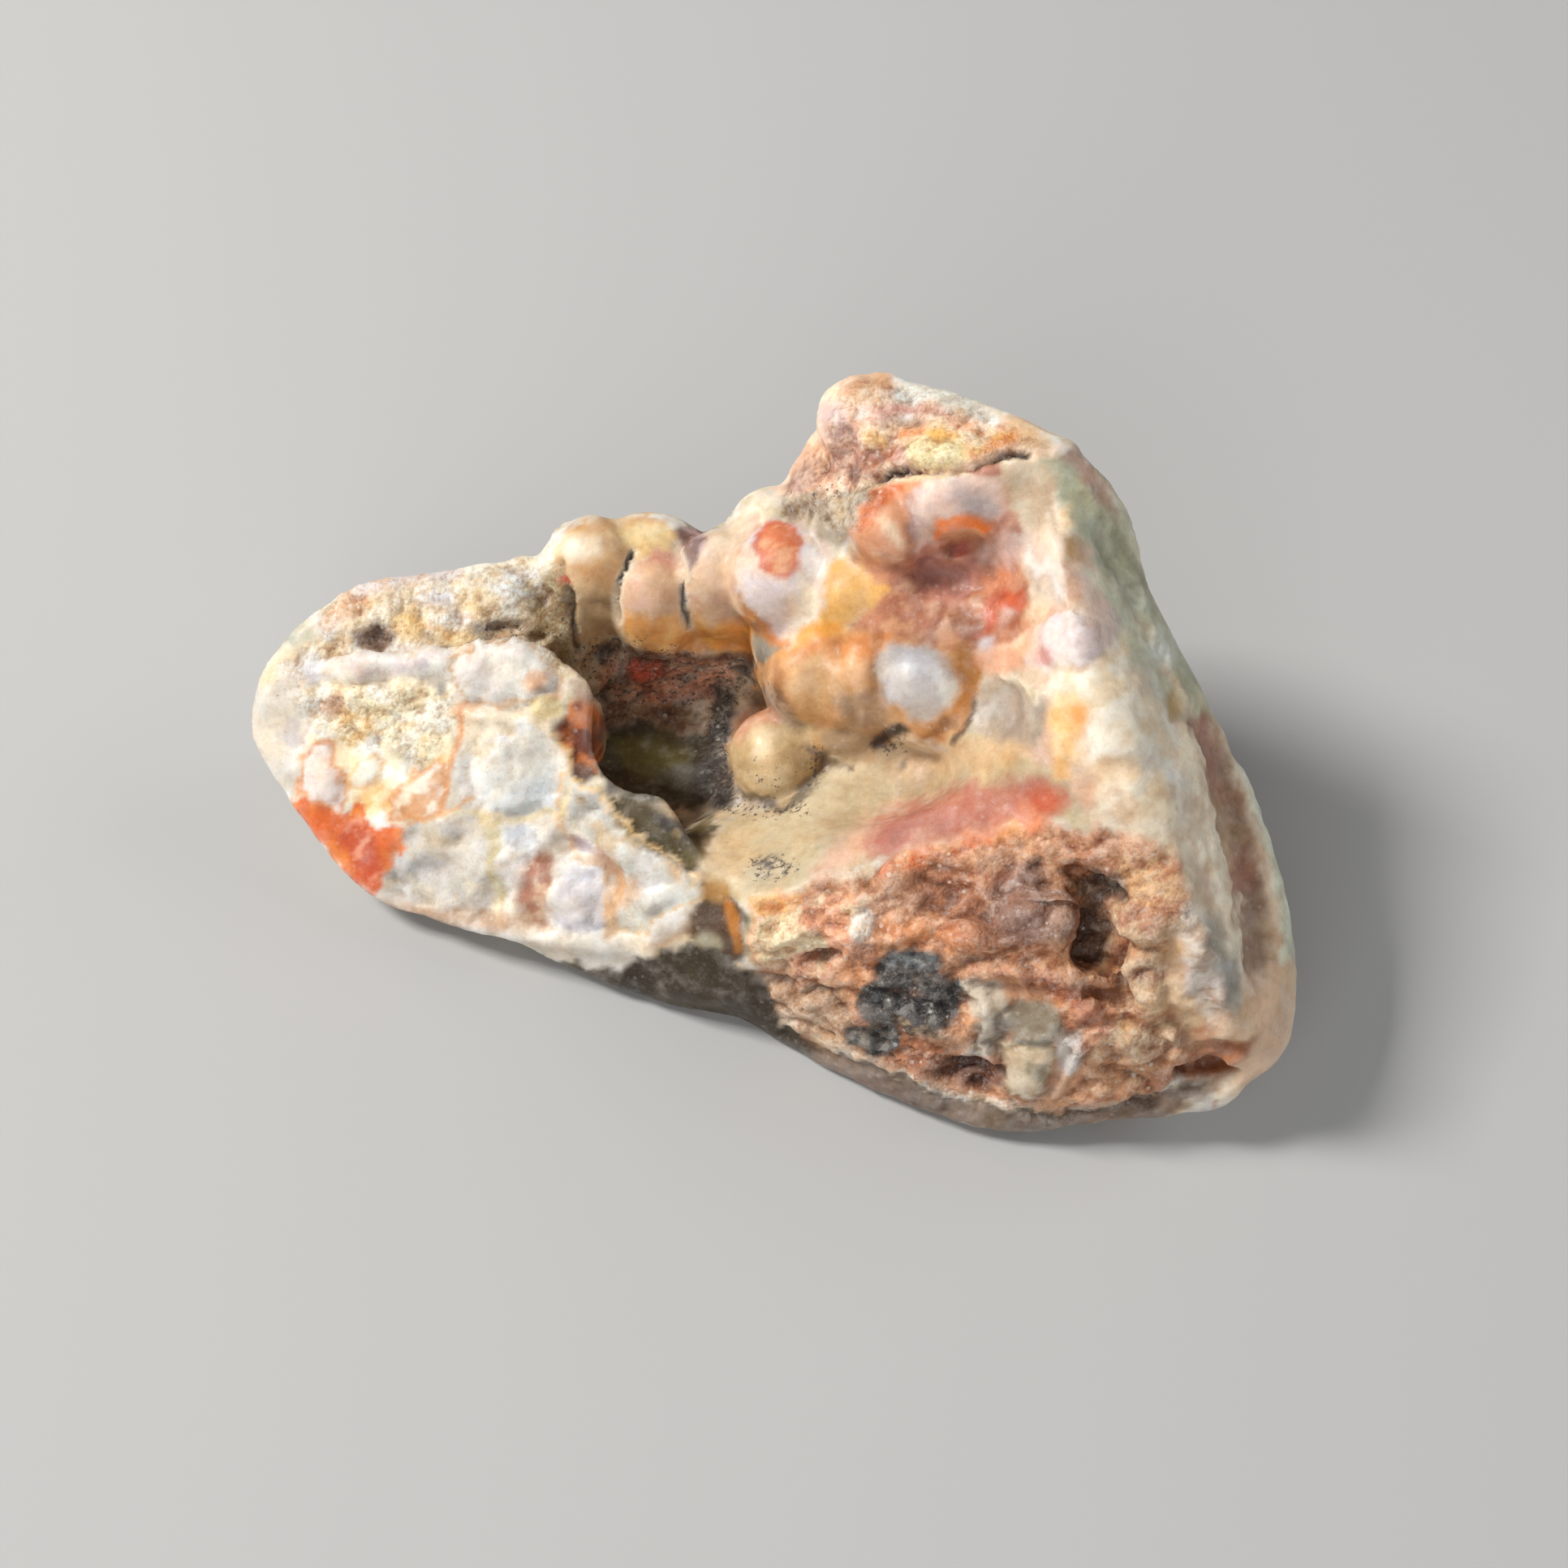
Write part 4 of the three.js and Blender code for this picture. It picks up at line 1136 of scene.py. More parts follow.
        (985, 796), (968, 794), (945, 778), (922, 758), (910, 735)], 4, 1, mix=(LAVENDER, 2.0, 0.4)),
    "lavender of the eye lump": Patch((216, 202, 200), [
        (912, 700), (932, 705), (960, 722), (975, 745), (965, 775), (940, 768), (918, 745)], 8, 0.85),
    "cream streak": Patch((248, 238, 218), [
        (982, 700), (1000, 715), (1008, 740), (1000, 775), (982, 786), (970, 772), (984, 745)], 7, 0.9),
    "honey edge": Patch((208, 132, 66), [
        (908, 735), (925, 760), (950, 778), (975, 792), (966, 800), (940, 786), (915, 762)], 5, 0.9),
    "eye": Patch(
        (216, 120, 72), oval((961, 676), (27, 34), 10), 4, 1, vein=((206, 92, 54), 4),
        mix=((234, 170, 128), 0.9, 0.4)),
    # A painted highlight on the eye lump.
    "white spot": Patch((250, 246, 242), oval((999, 690), (13, 22), 15), 5, 0.95),
    "crust behind the eye": Patch((172, 156, 134), [
        (965, 608), (1010, 592), (1062, 598), (1085, 588), (1062, 622), (1050, 650), (1035, 672),
        (1000, 660), (985, 645), (965, 630)], 6, 0.95, mix=((208, 192, 162), 0.8, 0.4)),
    # the honey lumps
    "honey": Patch(HONEY, [
        (934, 880), (930, 825), (950, 808), (978, 795), (1040, 780), (1090, 745), (1150, 770),
        (1190, 785), (1208, 805), (1212, 840), (1200, 885), (1180, 915), (1148, 912), (1112, 905),
        (1075, 935), (1045, 945), (1012, 930), (975, 912), (945, 895)], 4, 1,
        mix=((216, 160, 100), 2.2, 0.45)),
    "honey 1": Patch(
        (220, 176, 124), oval((1000, 845), (32, 38)), 12, 0.8, mix=((228, 190, 142), 0.9, 0.35)),
    "honey 2": Patch((222, 172, 122), oval((1055, 825), (24, 28)), 9, 0.8),
    "orange honey": Patch((212, 130, 62), [
        (975, 800), (1040, 790), (1100, 765), (1140, 775), (1090, 800), (1080, 815), (1030, 800),
        (985, 812)], 9, 0.7),
    "grey honey": Patch((178, 148, 116), [
        (1030, 862), (1075, 850), (1100, 880), (1104, 898), (1080, 905), (1040, 900)], 9, 0.85),
    "olive foot": Patch((162, 138, 106), [
        (985, 900), (1030, 898), (1078, 905), (1066, 935), (1046, 945), (1010, 930)], 8, 0.9),
    "dark left edge": Patch((150, 92, 50), [
        (948, 860), (950, 830), (960, 815), (964, 850), (975, 885), (965, 892)], 7, 0.7),
    "amber edge": Patch((176, 118, 58), [
        (1172, 800), (1205, 800), (1212, 835), (1200, 880), (1176, 902), (1148, 912), (1122, 908),
        (1150, 895), (1176, 865), (1182, 830)], 7, 0.95, mix=((140, 92, 46), 1.6, 0.4)),
    "white top": Patch((194, 190, 188), [
        (1084, 802), (1108, 794), (1145, 794), (1166, 806), (1178, 835), (1172, 862), (1152, 886),
        (1130, 892), (1108, 876), (1086, 858), (1078, 828)], 8, 0.95, mix=((224, 224, 218), 1.6, 0.45)),
    "ball": Patch((216, 188, 142), oval((956, 934), (62, 62)), 4, 1, mix=((194, 164, 116), 1.4, 0.45)),
    "ball pink": Patch((206, 142, 108), [
        (902, 912), (910, 886), (926, 866), (950, 868), (972, 884), (950, 890), (926, 892), (912, 915)],
        8, 0.85, mix=((224, 178, 148), 0.8, 0.4)),
    "ball crust": Patch((176, 150, 126), [
        (918, 856), (945, 842), (966, 858), (992, 892), (972, 892), (950, 872), (925, 874)], 6, 0.85,
        mix=((110, 90, 74), 0.5, 0.45)),
    # A painted highlight on the upper left of the ball.
    "painted highlight on the ball": Patch((232, 216, 182), oval((938, 922), (14, 20), -20), 8, 0.6),
    # Darker tan on the ball's lower right: painted shade.
    "painted shade on the ball's lower right": Patch((184, 142, 88), [
        (1004, 900), (1018, 935), (1008, 965), (985, 985), (980, 972), (1000, 945)], 6, 0.75),
    # the recess and the lip over it
    "recess": Patch((202, 140, 108), [
        (1050, 650), (1100, 600), (1240, 590), (1262, 640), (1262, 700), (1262, 780), (1215, 805),
        (1190, 800), (1100, 780), (1040, 775), (1066, 735), (1050, 690)], 10, 1,
        mix=((158, 98, 72), 1.4, 0.45)),
    "brown of the recess": Patch((174, 110, 80), [
        (1085, 690), (1125, 690), (1135, 740), (1160, 756), (1215, 760), (1222, 790), (1130, 790),
        (1080, 775), (1078, 738), (1100, 720)], 11, 0.9, mix=((208, 156, 118), 0.9, 0.42)),
    "dark brown of the recess": Patch((128, 76, 50), [
        (1170, 762), (1200, 758), (1224, 768), (1212, 792), (1180, 790)], 9, 0.75),
    "brown beside the plum": Patch(
        (212, 136, 94), oval((1222, 712), (26, 22), 20), 11, 0.85, mix=((178, 110, 76), 1, 0.4)),
    "yellow": Patch((222, 172, 98), [
        (1016, 690), (1045, 684), (1066, 698), (1088, 712), (1096, 724), (1084, 738), (1070, 748),
        (1052, 762), (1040, 780), (1020, 790), (976, 796), (984, 776), (1006, 768), (1018, 742)], 7, 1,
        mix=((234, 188, 114), 2.2, 0.4)),
    "yellow foot": Patch((234, 160, 62), oval((1008, 780), (30, 12), 10), 6, 0.85),
    "lip orange": Patch((226, 160, 118), [
        (1050, 655), (1056, 625), (1080, 603), (1110, 588), (1142, 590), (1142, 610), (1124, 622),
        (1116, 645), (1124, 670), (1112, 692), (1076, 690), (1056, 676)], 7, 0.95,
        mix=((234, 184, 146), 1.4, 0.4)),
    "orange rim of the lip": Patch((218, 116, 56), [
        (1056, 650), (1060, 628), (1080, 606), (1108, 591), (1140, 590), (1138, 604), (1114, 608),
        (1092, 620), (1074, 636), (1066, 652)], 6, 0.85, mix=((228, 148, 92), 1, 0.35)),
    "lip cream": Patch((246, 222, 186), [
        (1078, 640), (1092, 632), (1104, 650), (1116, 668), (1108, 676), (1094, 662)], 5, 0.8),
    "lip lavender": Patch((214, 190, 182), [
        (1142, 594), (1180, 588), (1232, 590), (1238, 622), (1226, 642), (1190, 634), (1160, 640),
        (1148, 666), (1128, 674), (1120, 642), (1126, 616)], 9, 0.92, mix=((232, 204, 190), 1.0, 0.4)),
    "grey of the lip": Patch((184, 180, 184), oval((1208, 622), (26, 12), -20), 8, 0.6),
    "red arc": Patch((250, 134, 46), [
        (1152, 660), (1158, 642), (1180, 632), (1204, 637), (1220, 652), (1212, 660), (1184, 648),
        (1164, 656)], 3, 0.95),
    "arc cream": Patch((240, 190, 146), oval((1188, 660), (24, 8)), 4, 0.9),
    "red spot": Patch((190, 76, 46), oval((1184, 678), (9, 7)), 3, 0.9),
    "plum": Patch((170, 116, 106), [
        (1128, 684), (1150, 672), (1172, 690), (1200, 694), (1206, 712), (1196, 738), (1170, 744),
        (1146, 742), (1128, 712)], 12, 0.85, mix=((202, 142, 124), 1.4, 0.45)),
    "tan knob": Patch((212, 162, 124), oval((1212, 744), (15, 12)), 7, 0.7),
    "tan knob 2": Patch((212, 164, 126), oval((1150, 752), (10, 11)), 6, 0.45),
    "mauve corner": Patch((216, 188, 178), [
        (1205, 672), (1240, 655), (1256, 680), (1250, 700), (1228, 698), (1208, 690)], 10, 0.8),
    "red patch": Patch((206, 92, 50), [
        (1222, 738), (1240, 728), (1258, 728), (1268, 744), (1250, 756), (1236, 752), (1226, 776),
        (1206, 786), (1214, 768)], 8, 0.9, mix=((180, 78, 46), 0.9, 0.4)),
    "pink streak": Patch((238, 204, 192), [
        (1230, 764), (1244, 750), (1254, 756), (1240, 768), (1230, 778)], 4, 0.75),
    "red below": Patch(
        (204, 140, 104), oval((1248, 782), (28, 22), 20), 12, 0.8, mix=((184, 112, 78), 1, 0.4)),
    "white sliver": Patch((222, 216, 216), [
        (1210, 786), (1222, 784), (1222, 806), (1210, 818), (1204, 802)], 4, 0.9),
    # the shoulder right of the recess
    "shoulder": Patch((232, 208, 180), [
        (1210, 800), (1275, 780), (1262, 640), (1236, 575), (1290, 560), (1320, 700), (1350, 790),
        (1400, 880), (1440, 1010), (1350, 1020), (1290, 960), (1200, 905)], 6, 1,
        mix=((226, 186, 156), 2.2, 0.4)),
    "tan strip": Patch((192, 166, 134), [
        (1232, 576), (1290, 566), (1302, 610), (1300, 650), (1268, 650), (1244, 625)], 8, 0.85,
        mix=((202, 186, 158), 1.2, 0.4)),
    "white strip": Patch((234, 222, 206), [
        (1250, 660), (1272, 648), (1290, 672), (1306, 708), (1330, 742), (1310, 748), (1286, 724),
        (1262, 696)], 9, 0.85, mix=((216, 190, 166), 1.4, 0.4)),
    "olive smear": Patch((156, 118, 66), [(1310, 660), (1334, 655), (1336, 690), (1312, 700)], 7, 0.8),
    "brown strip": Patch((192, 148, 122), [(1304, 690), (1334, 696), (1336, 742), (1310, 735)], 8, 0.8),
    "grey-pink ridge": Patch((208, 186, 176), [
        (1330, 700), (1352, 700), (1384, 780), (1366, 800), (1340, 760)], 8, 0.85),
    "orange-pink": Patch((228, 168, 134), oval((1235, 812), (34, 18)), 9, 0.85),
    "pink dome": Patch((228, 208, 204), [
        (1284, 772), (1300, 756), (1330, 750), (1352, 770), (1358, 802), (1342, 818), (1310, 822),
        (1288, 830), (1268, 815), (1274, 790)], 6, 0.9, mix=((240, 232, 228), 1.4, 0.4)),
    "mauve dot": Patch((206, 142, 136), oval((1287, 808), (13, 13)), 6, 0.85),
    "white shoulder": Patch((238, 230, 212), [
        (1290, 828), (1345, 824), (1372, 792), (1394, 812), (1424, 852), (1444, 892), (1464, 932),
        (1474, 972), (1486, 1030), (1440, 1010), (1400, 980), (1352, 960), (1342, 915), (1344, 880),
        (1312, 848), (1290, 850)], 8, 0.97, mix=((226, 206, 174), 1.8, 0.42)),
    "shoulder foot": Patch((232, 216, 188), [
        (1356, 960), (1410, 980), (1450, 960), (1480, 1000), (1498, 1060), (1496, 1120), (1470, 1130),
        (1440, 1050), (1390, 1020), (1340, 1010)], 8, 0.85, mix=((206, 180, 148), 1.0, 0.42)),
    "shelf": Patch((158, 146, 130), [
        (1196, 900), (1204, 856), (1218, 836), (1242, 830), (1262, 840), (1284, 860), (1292, 884),
        (1280, 916), (1242, 928), (1204, 922)], 11, 0.85, mix=((176, 166, 154), 1.6, 0.4)),
    # A painted highlight along the top edge of the shelf.
    "painted highlight on the shelf's crest": Patch((240, 230, 200), [
        (1238, 829), (1246, 830), (1262, 840), (1280, 856), (1278, 870), (1268, 858), (1252, 844)], 3,
        0.8),
    "orange fibres": Patch((240, 186, 116), [
        (1300, 856), (1322, 850), (1340, 868), (1340, 895), (1326, 915), (1316, 950), (1310, 985),
        (1294, 960), (1298, 910), (1290, 880)], 8, 0.85, mix=((246, 214, 160), 1.0, 0.4)),
    "orange spot": Patch((240, 156, 78), oval((1330, 880), (10, 14)), 5, 0.7),
    "tan oval": Patch((232, 198, 154), oval((1375, 948), (30, 22)), 9, 0.7),
    # the peak
    "peak": Patch((254, 224, 194), [
        (940, 570), (970, 510), (1010, 460), (1070, 430), (1125, 455), (1185, 480), (1245, 512),
        (1305, 545), (1290, 562), (1265, 562), (1235, 562), (1196, 574), (1150, 580), (1100, 586),
        (1060, 602), (1010, 610), (950, 612)], 5, 1, mix=((240, 192, 160), 1.1, 0.45)),
    "peak cream top": Patch((240, 206, 168), [
        (1040, 478), (1070, 458), (1096, 462), (1088, 484), (1060, 496), (1042, 494)], 7, 0.85,
        mix=((222, 166, 120), 0.9, 0.4)),
    "peak pink band": Patch((206, 142, 126), [
        (1050, 504), (1110, 494), (1170, 500), (1184, 516), (1120, 512), (1070, 518)], 7, 0.8,
        mix=((230, 186, 166), 0.8, 0.4)),
    "peak pink": Patch((216, 184, 182), [
        (1006, 500), (1030, 488), (1046, 512), (1030, 545), (1008, 545)], 8, 0.8,
        mix=((238, 214, 204), 0.6, 0.4)),
    "peak sparkle 1": Patch(WHITE, oval((1112, 482), (12, 7), -10), 4, 0.85),
    "peak sparkle 2": Patch(WHITE, oval((1222, 516), (14, 6), -30), 4, 0.85),
    "peak sparkle 3": Patch(WHITE, oval((1062, 510), (12, 6), 20), 4, 0.75),
    "peak sparkle 4": Patch(WHITE, oval((1112, 514), (14, 6), 10), 4, 0.75),
    "peak mauve": Patch((176, 126, 114), [
        (1020, 532), (1048, 520), (1066, 552), (1090, 560), (1096, 574), (1050, 592), (1018, 580)], 9,
        0.85, mix=((206, 160, 138), 0.8, 0.4)),
    "peak white": Patch((230, 232, 222), [
        (1095, 458), (1130, 458), (1186, 478), (1246, 512), (1232, 526), (1196, 516), (1160, 500),
        (1108, 490)], 7, 0.92, mix=((202, 200, 192), 1.2, 0.4)),
    "peak tan": Patch((216, 180, 138), [
        (1232, 508), (1256, 512), (1296, 540), (1290, 560), (1262, 552), (1244, 532)], 7, 0.85),
    "peak orange band": Patch((218, 158, 108), oval((1090, 472), (12, 12)), 7, 0.8),
    "peak orange 1": Patch((228, 142, 62), oval((1125, 534), (22, 10)), 6, 0.85),
    "peak gold": Patch((238, 194, 122), [
        (1066, 528), (1078, 526), (1096, 544), (1086, 552), (1070, 546)], 4, 0.9),
    "peak orange 2": Patch((232, 150, 66), [
        (1190, 568), (1196, 548), (1226, 534), (1252, 530), (1252, 545), (1228, 556), (1210, 568)], 5,
        0.9, mix=((240, 190, 110), 0.9, 0.4)),
    "peak yellow": Patch((244, 190, 90), [(1140, 538), (1162, 528), (1184, 542), (1164, 550)], 5, 0.88),
    "peak cream": Patch((254, 234, 182), [
        (1120, 552), (1134, 543), (1160, 542), (1186, 549), (1194, 568), (1160, 580), (1128, 578)], 4,
        1, mix=((254, 218, 142), 0.8, 0.35)),
    "peak pale": Patch((240, 222, 190), oval((1204, 545), (12, 10)), 5, 0.8),
    "peak red": Patch(
        (196, 104, 76), oval((1106, 560), (14, 12)), 6, 0.85, mix=((232, 196, 180), 0.5, 0.35)),
    "peak shade": Patch((112, 76, 66), [
        (1040, 580), (1062, 566), (1095, 572), (1084, 590), (1050, 598)], 6, 0.8,
        mix=(BROWN, 0.7, 0.4)),
    "foot of the peak": Patch((168, 122, 108), [
        (965, 612), (975, 585), (1005, 560), (1014, 590), (990, 606)], 6, 0.9,
        mix=((204, 170, 150), 0.7, 0.4)),
    "pale ledge": Patch((236, 210, 164), [
        (1100, 594), (1130, 583), (1180, 578), (1206, 572), (1206, 580), (1160, 588), (1120, 592)], 3,
        0.85),
    "red under the crack": Patch((172, 92, 66), [
        (1186, 578), (1232, 568), (1234, 586), (1200, 588)], 4, 0.85),
    # the greenish rind of the right side
    "rind": Patch((172, 174, 148), [
        (1290, 562), (1330, 552), (1370, 600), (1410, 660), (1450, 720), (1485, 800), (1520, 890),
        (1490, 900), (1460, 860), (1410, 770), (1370, 720), (1345, 690), (1325, 650), (1305, 600)], 12,
        1, mix=((190, 188, 162), 2.4, 0.45)),
    "rind top": Patch((172, 132, 112), [
        (1300, 560), (1330, 548), (1366, 590), (1378, 640), (1352, 620), (1330, 580)], 9, 0.85),
    "rind olive": Patch((150, 150, 120), [
        (1352, 655), (1376, 655), (1412, 710), (1430, 745), (1400, 730), (1372, 700)], 12, 0.8),
    "rind edge": Patch((208, 206, 182), [
        (1374, 640), (1392, 640), (1424, 695), (1450, 745), (1440, 752), (1410, 700), (1384, 668)], 5,
        0.8),
    "rind pale": Patch(PALE_GREEN, [
        (1340, 700), (1362, 700), (1400, 760), (1440, 830), (1470, 882), (1456, 896), (1424, 860),
        (1396, 806), (1372, 760)], 8, 0.9, mix=((218, 214, 190), 1.6, 0.4)),
    "rind light": Patch((214, 218, 204), oval((1434, 795), (18, 26), 20), 9, 0.8),
    "rind ochre": Patch((178, 140, 78), oval((1446, 872), (11, 18), 20), 6, 0.85),
    # the waxy right side
    "right side": Patch((222, 200, 172), [
        (1450, 895), (1510, 885), (1565, 1000), (1612, 1160), (1600, 1290), (1550, 1340), (1500, 1350),
        (1470, 1290), (1500, 1220), (1480, 1120), (1460, 1000)], 6, 1,
        mix=((206, 178, 150), 2.6, 0.35)),
    "mauve band": Patch((144, 108, 86), [
        (1468, 880), (1496, 876), (1516, 915), (1536, 975), (1552, 1040), (1562, 1120), (1556, 1200),
        (1542, 1215), (1536, 1130), (1522, 1060), (1506, 1000), (1486, 940)], 10, 0.9,
        mix=((162, 134, 106), 2.0, 0.45)),
    "mauve deep": Patch((160, 106, 88), [
        (1474, 882), (1492, 880), (1508, 940), (1514, 990), (1500, 970), (1484, 920)], 8, 0.75),
    "mauve spot": Patch((182, 118, 88), oval((1534, 1075), (12, 26), 10), 10, 0.6),
    "cream ridge": Patch((234, 222, 196), [
        (1446, 900), (1468, 895), (1494, 970), (1512, 1050), (1528, 1150), (1536, 1220), (1512, 1210),
        (1496, 1120), (1474, 1020), (1456, 950)], 7, 0.9, mix=((214, 190, 158), 1.4, 0.35)),
    "pale rim": Patch((218, 228, 208), [
        (1510, 885), (1530, 900), (1570, 1000), (1612, 1130), (1610, 1260), (1590, 1300), (1576, 1240),
        (1576, 1130), (1560, 1050), (1538, 970)], 7, 0.9, mix=((194, 198, 178), 1.4, 0.4)),
    "grey streak": Patch((132, 132, 126), [
        (1472, 1140), (1500, 1130), (1524, 1200), (1530, 1250), (1500, 1240), (1484, 1190)], 12, 0.8,
        mix=((160, 166, 164), 1.0, 0.35)),
    "right foot": Patch((222, 188, 158), [
        (1530, 1200), (1600, 1180), (1602, 1270), (1560, 1335), (1520, 1330), (1540, 1270)], 9, 0.8),
    # Dark orange-brown, partly painted shade in the gap under the ledge.
    "right cavity": Patch((146, 84, 46), [
        (1446, 1312), (1470, 1290), (1520, 1282), (1546, 1278), (1540, 1300), (1500, 1326), (1462, 1334)],
        6, 0.95, mix=((176, 112, 66), 1.2, 0.4)),
    # the rough face
    "face": Patch((222, 170, 132), [
        (925, 1120), (1000, 1092), (1090, 1070), (1200, 1032), (1300, 1015), (1420, 1030), (1450, 1060),
        (1480, 1150), (1505, 1230), (1490, 1300), (1420, 1350), (1290, 1370), (1160, 1345),
        (1040, 1290), (950, 1240), (925, 1180)], 8, 1, mix=((192, 132, 94), 1.6, 0.45)),
    "face left": Patch((254, 236, 200), [
        (930, 1130), (1030, 1100), (1070, 1110), (1050, 1170), (1000, 1195), (940, 1190)], 9, 0.85,
        mix=((252, 188, 152), 1.2, 0.4)),
    "face shade": Patch((150, 98, 74), oval((1005, 1180), (30, 10), 10), 6, 0.45),
    "face low left": Patch((198, 160, 124), [
        (930, 1205), (1030, 1215), (1060, 1260), (1100, 1300), (1030, 1290), (950, 1250)], 9, 0.85,
        mix=((222, 196, 166), 0.9, 0.4)),
    "face orange": Patch((216, 136, 78), [
        (1085, 1140), (1140, 1132), (1200, 1150), (1215, 1172), (1160, 1168), (1110, 1160)], 9, 0.8,
        mix=((232, 174, 120), 0.9, 0.4)),
    "peach of the face": Patch((232, 186, 150), [
        (1200, 1060), (1250, 1050), (1290, 1070), (1260, 1090), (1215, 1100)], 12, 0.7,
        mix=((208, 150, 120), 0.9, 0.4)),
    "tan of the face": Patch((220, 184, 142), [
        (1376, 1060), (1440, 1050), (1470, 1110), (1480, 1190), (1420, 1190), (1376, 1160), (1384, 1110)],
        10, 0.85, mix=((190, 134, 96), 0.8, 0.42)),
    "rust of the face": Patch(
        (198, 118, 82), oval((1345, 1262), (34, 24), 10), 8, 0.8, mix=((224, 160, 120), 0.6, 0.4)),
    "pale right of the face": Patch((222, 192, 152), [
        (1380, 1180), (1450, 1190), (1486, 1250), (1470, 1290), (1400, 1300), (1350, 1290), (1376, 1240)],
        9, 0.85, mix=((184, 136, 100), 0.8, 0.42)),
    # Brown in the hollow, partly painted shade.
    "brown hollow with painted shade": Patch((178, 120, 88), [
        (1112, 1070), (1150, 1052), (1186, 1056), (1206, 1090), (1186, 1126), (1150, 1130), (1120, 1104)],
        12, 0.8, mix=((206, 138, 92), 0.9, 0.4)),
    "hollow mauve": Patch((144, 116, 106), [
        (1215, 1100), (1270, 1060), (1310, 1100), (1310, 1160), (1270, 1165), (1225, 1150)], 12, 0.8,
        mix=((126, 96, 88), 1.2, 0.45)),
    "red edge": Patch((176, 98, 60), [
        (1216, 1194), (1250, 1186), (1310, 1200), (1345, 1225), (1340, 1242), (1290, 1226), (1250, 1206)],
        7, 0.8, mix=((212, 150, 104), 0.5, 0.4)),
    # Grey-brown, much of it painted shade deep in the pit.
    "pit": Patch((92, 66, 40), [
        (1312, 1075), (1340, 1068), (1392, 1080), (1392, 1105), (1362, 1115), (1370, 1160),
        (1355, 1190), (1325, 1190), (1322, 1140), (1326, 1105)], 9, 0.9, mix=((70, 44, 24), 0.9, 0.4)),
    "pale edge of the pit": Patch((228, 194, 150), [
        (1372, 1112), (1380, 1112), (1378, 1150), (1366, 1190), (1350, 1204), (1356, 1184), (1370, 1150)],
        4, 0.85),
    "pale of the face": Patch((208, 200, 186), [
        (1178, 1216), (1200, 1202), (1232, 1212), (1244, 1236), (1246, 1262), (1228, 1290),
        (1206, 1312), (1186, 1306), (1196, 1280), (1206, 1256), (1194, 1240)], 5, 0.95,
        mix=((126, 118, 106), 0.9, 0.42)),
    "plates": Patch((210, 190, 158), [
        (1222, 1286), (1240, 1276), (1290, 1272), (1302, 1286), (1300, 1312), (1292, 1342),
        (1250, 1350), (1236, 1336), (1236, 1312)], 4, 0.95, vein=((136, 100, 74), 2.5),
        mix=((158, 144, 114), 1.0, 0.42)),
    # Painted shadow beside the plates.
    "painted shadow by the plates": Patch((104, 56, 32), [
        (1140, 1304), (1186, 1302), (1220, 1306), (1234, 1318), (1236, 1338), (1206, 1342), (1170, 1330)],
        5, 0.9),
    "blue crystals": Patch((220, 216, 210), [
        (1308, 1270), (1330, 1262), (1338, 1288), (1326, 1318), (1306, 1312), (1302, 1290)], 4, 0.9),
    "foot shade": Patch((120, 72, 46), [
        (1120, 1312), (1200, 1318), (1228, 1330), (1212, 1348), (1150, 1332)], 6, 0.85),
    "right of the face": Patch((206, 160, 124), [
        (1340, 1290), (1400, 1280), (1490, 1290), (1400, 1340), (1330, 1340)], 8, 0.75,
        mix=((236, 208, 172), 0.5, 0.35)),
    "white crystals of the face": Patch((216, 208, 196), [
        (1462, 1110), (1488, 1130), (1506, 1230), (1494, 1270), (1474, 1240), (1458, 1210),
        (1462, 1170), (1448, 1140)], 8, 0.9, mix=((172, 150, 130), 0.6, 0.42)),
    "olive plane": Patch((128, 122, 104), [
        (1238, 1252), (1250, 1232), (1278, 1228), (1306, 1240), (1314, 1268), (1290, 1282), (1250, 1282)],
        5, 0.92, mix=((152, 146, 134), 0.8, 0.4)),
    "dark oval": Patch((40, 42, 46), [
        (1052, 1236), (1070, 1216), (1086, 1208), (1078, 1190), (1094, 1170), (1124, 1162),
        (1152, 1172), (1162, 1196), (1190, 1212), (1184, 1238), (1168, 1262), (1130, 1276),
        (1104, 1268), (1108, 1296), (1080, 1302), (1050, 1288), (1040, 1268), (1074, 1258)], 5, 0.97,
        mix=((86, 78, 68), 0.6, 0.38)),
    "blue-grey of the oval": Patch((118, 126, 132), [
        (1082, 1190), (1098, 1170), (1130, 1166), (1152, 1178), (1144, 1190), (1110, 1196)], 5, 0.9,
        mix=((66, 72, 80), 0.4, 0.42)),
    "black of the oval": Patch((30, 30, 36), [
        (1058, 1230), (1086, 1210), (1150, 1204), (1176, 1212), (1178, 1236), (1150, 1252), (1100, 1246)],
        5, 0.85),
    "brown of the oval": Patch(
        (116, 82, 62), oval((1118, 1220), (24, 6)), 5, 0.7, mix=((50, 46, 46), 0.4, 0.45)),
    "tan in the oval": Patch((206, 180, 146), [
        (1096, 1252), (1120, 1252), (1150, 1260), (1172, 1272), (1160, 1278), (1120, 1270)], 4, 0.85,
        mix=((90, 78, 68), 0.35, 0.45)),
    "pale thread of the oval": Patch((128, 132, 132), [
        (1090, 1226), (1098, 1226), (1102, 1262), (1104, 1286), (1094, 1280), (1092, 1254)], 3, 0.6),
    "dark tail": Patch((70, 76, 84), [
        (1044, 1268), (1078, 1270), (1108, 1288), (1096, 1302), (1064, 1296)], 5, 0.85,
        mix=((130, 126, 118), 0.4, 0.4)),
    "white spot of the face": Patch(WHITE, oval((1062, 1138), (15, 17)), 5, 1),
    # The lowest band of rind, darkened with painted shade.
    "low rind in painted shade": Patch((96, 70, 54), [
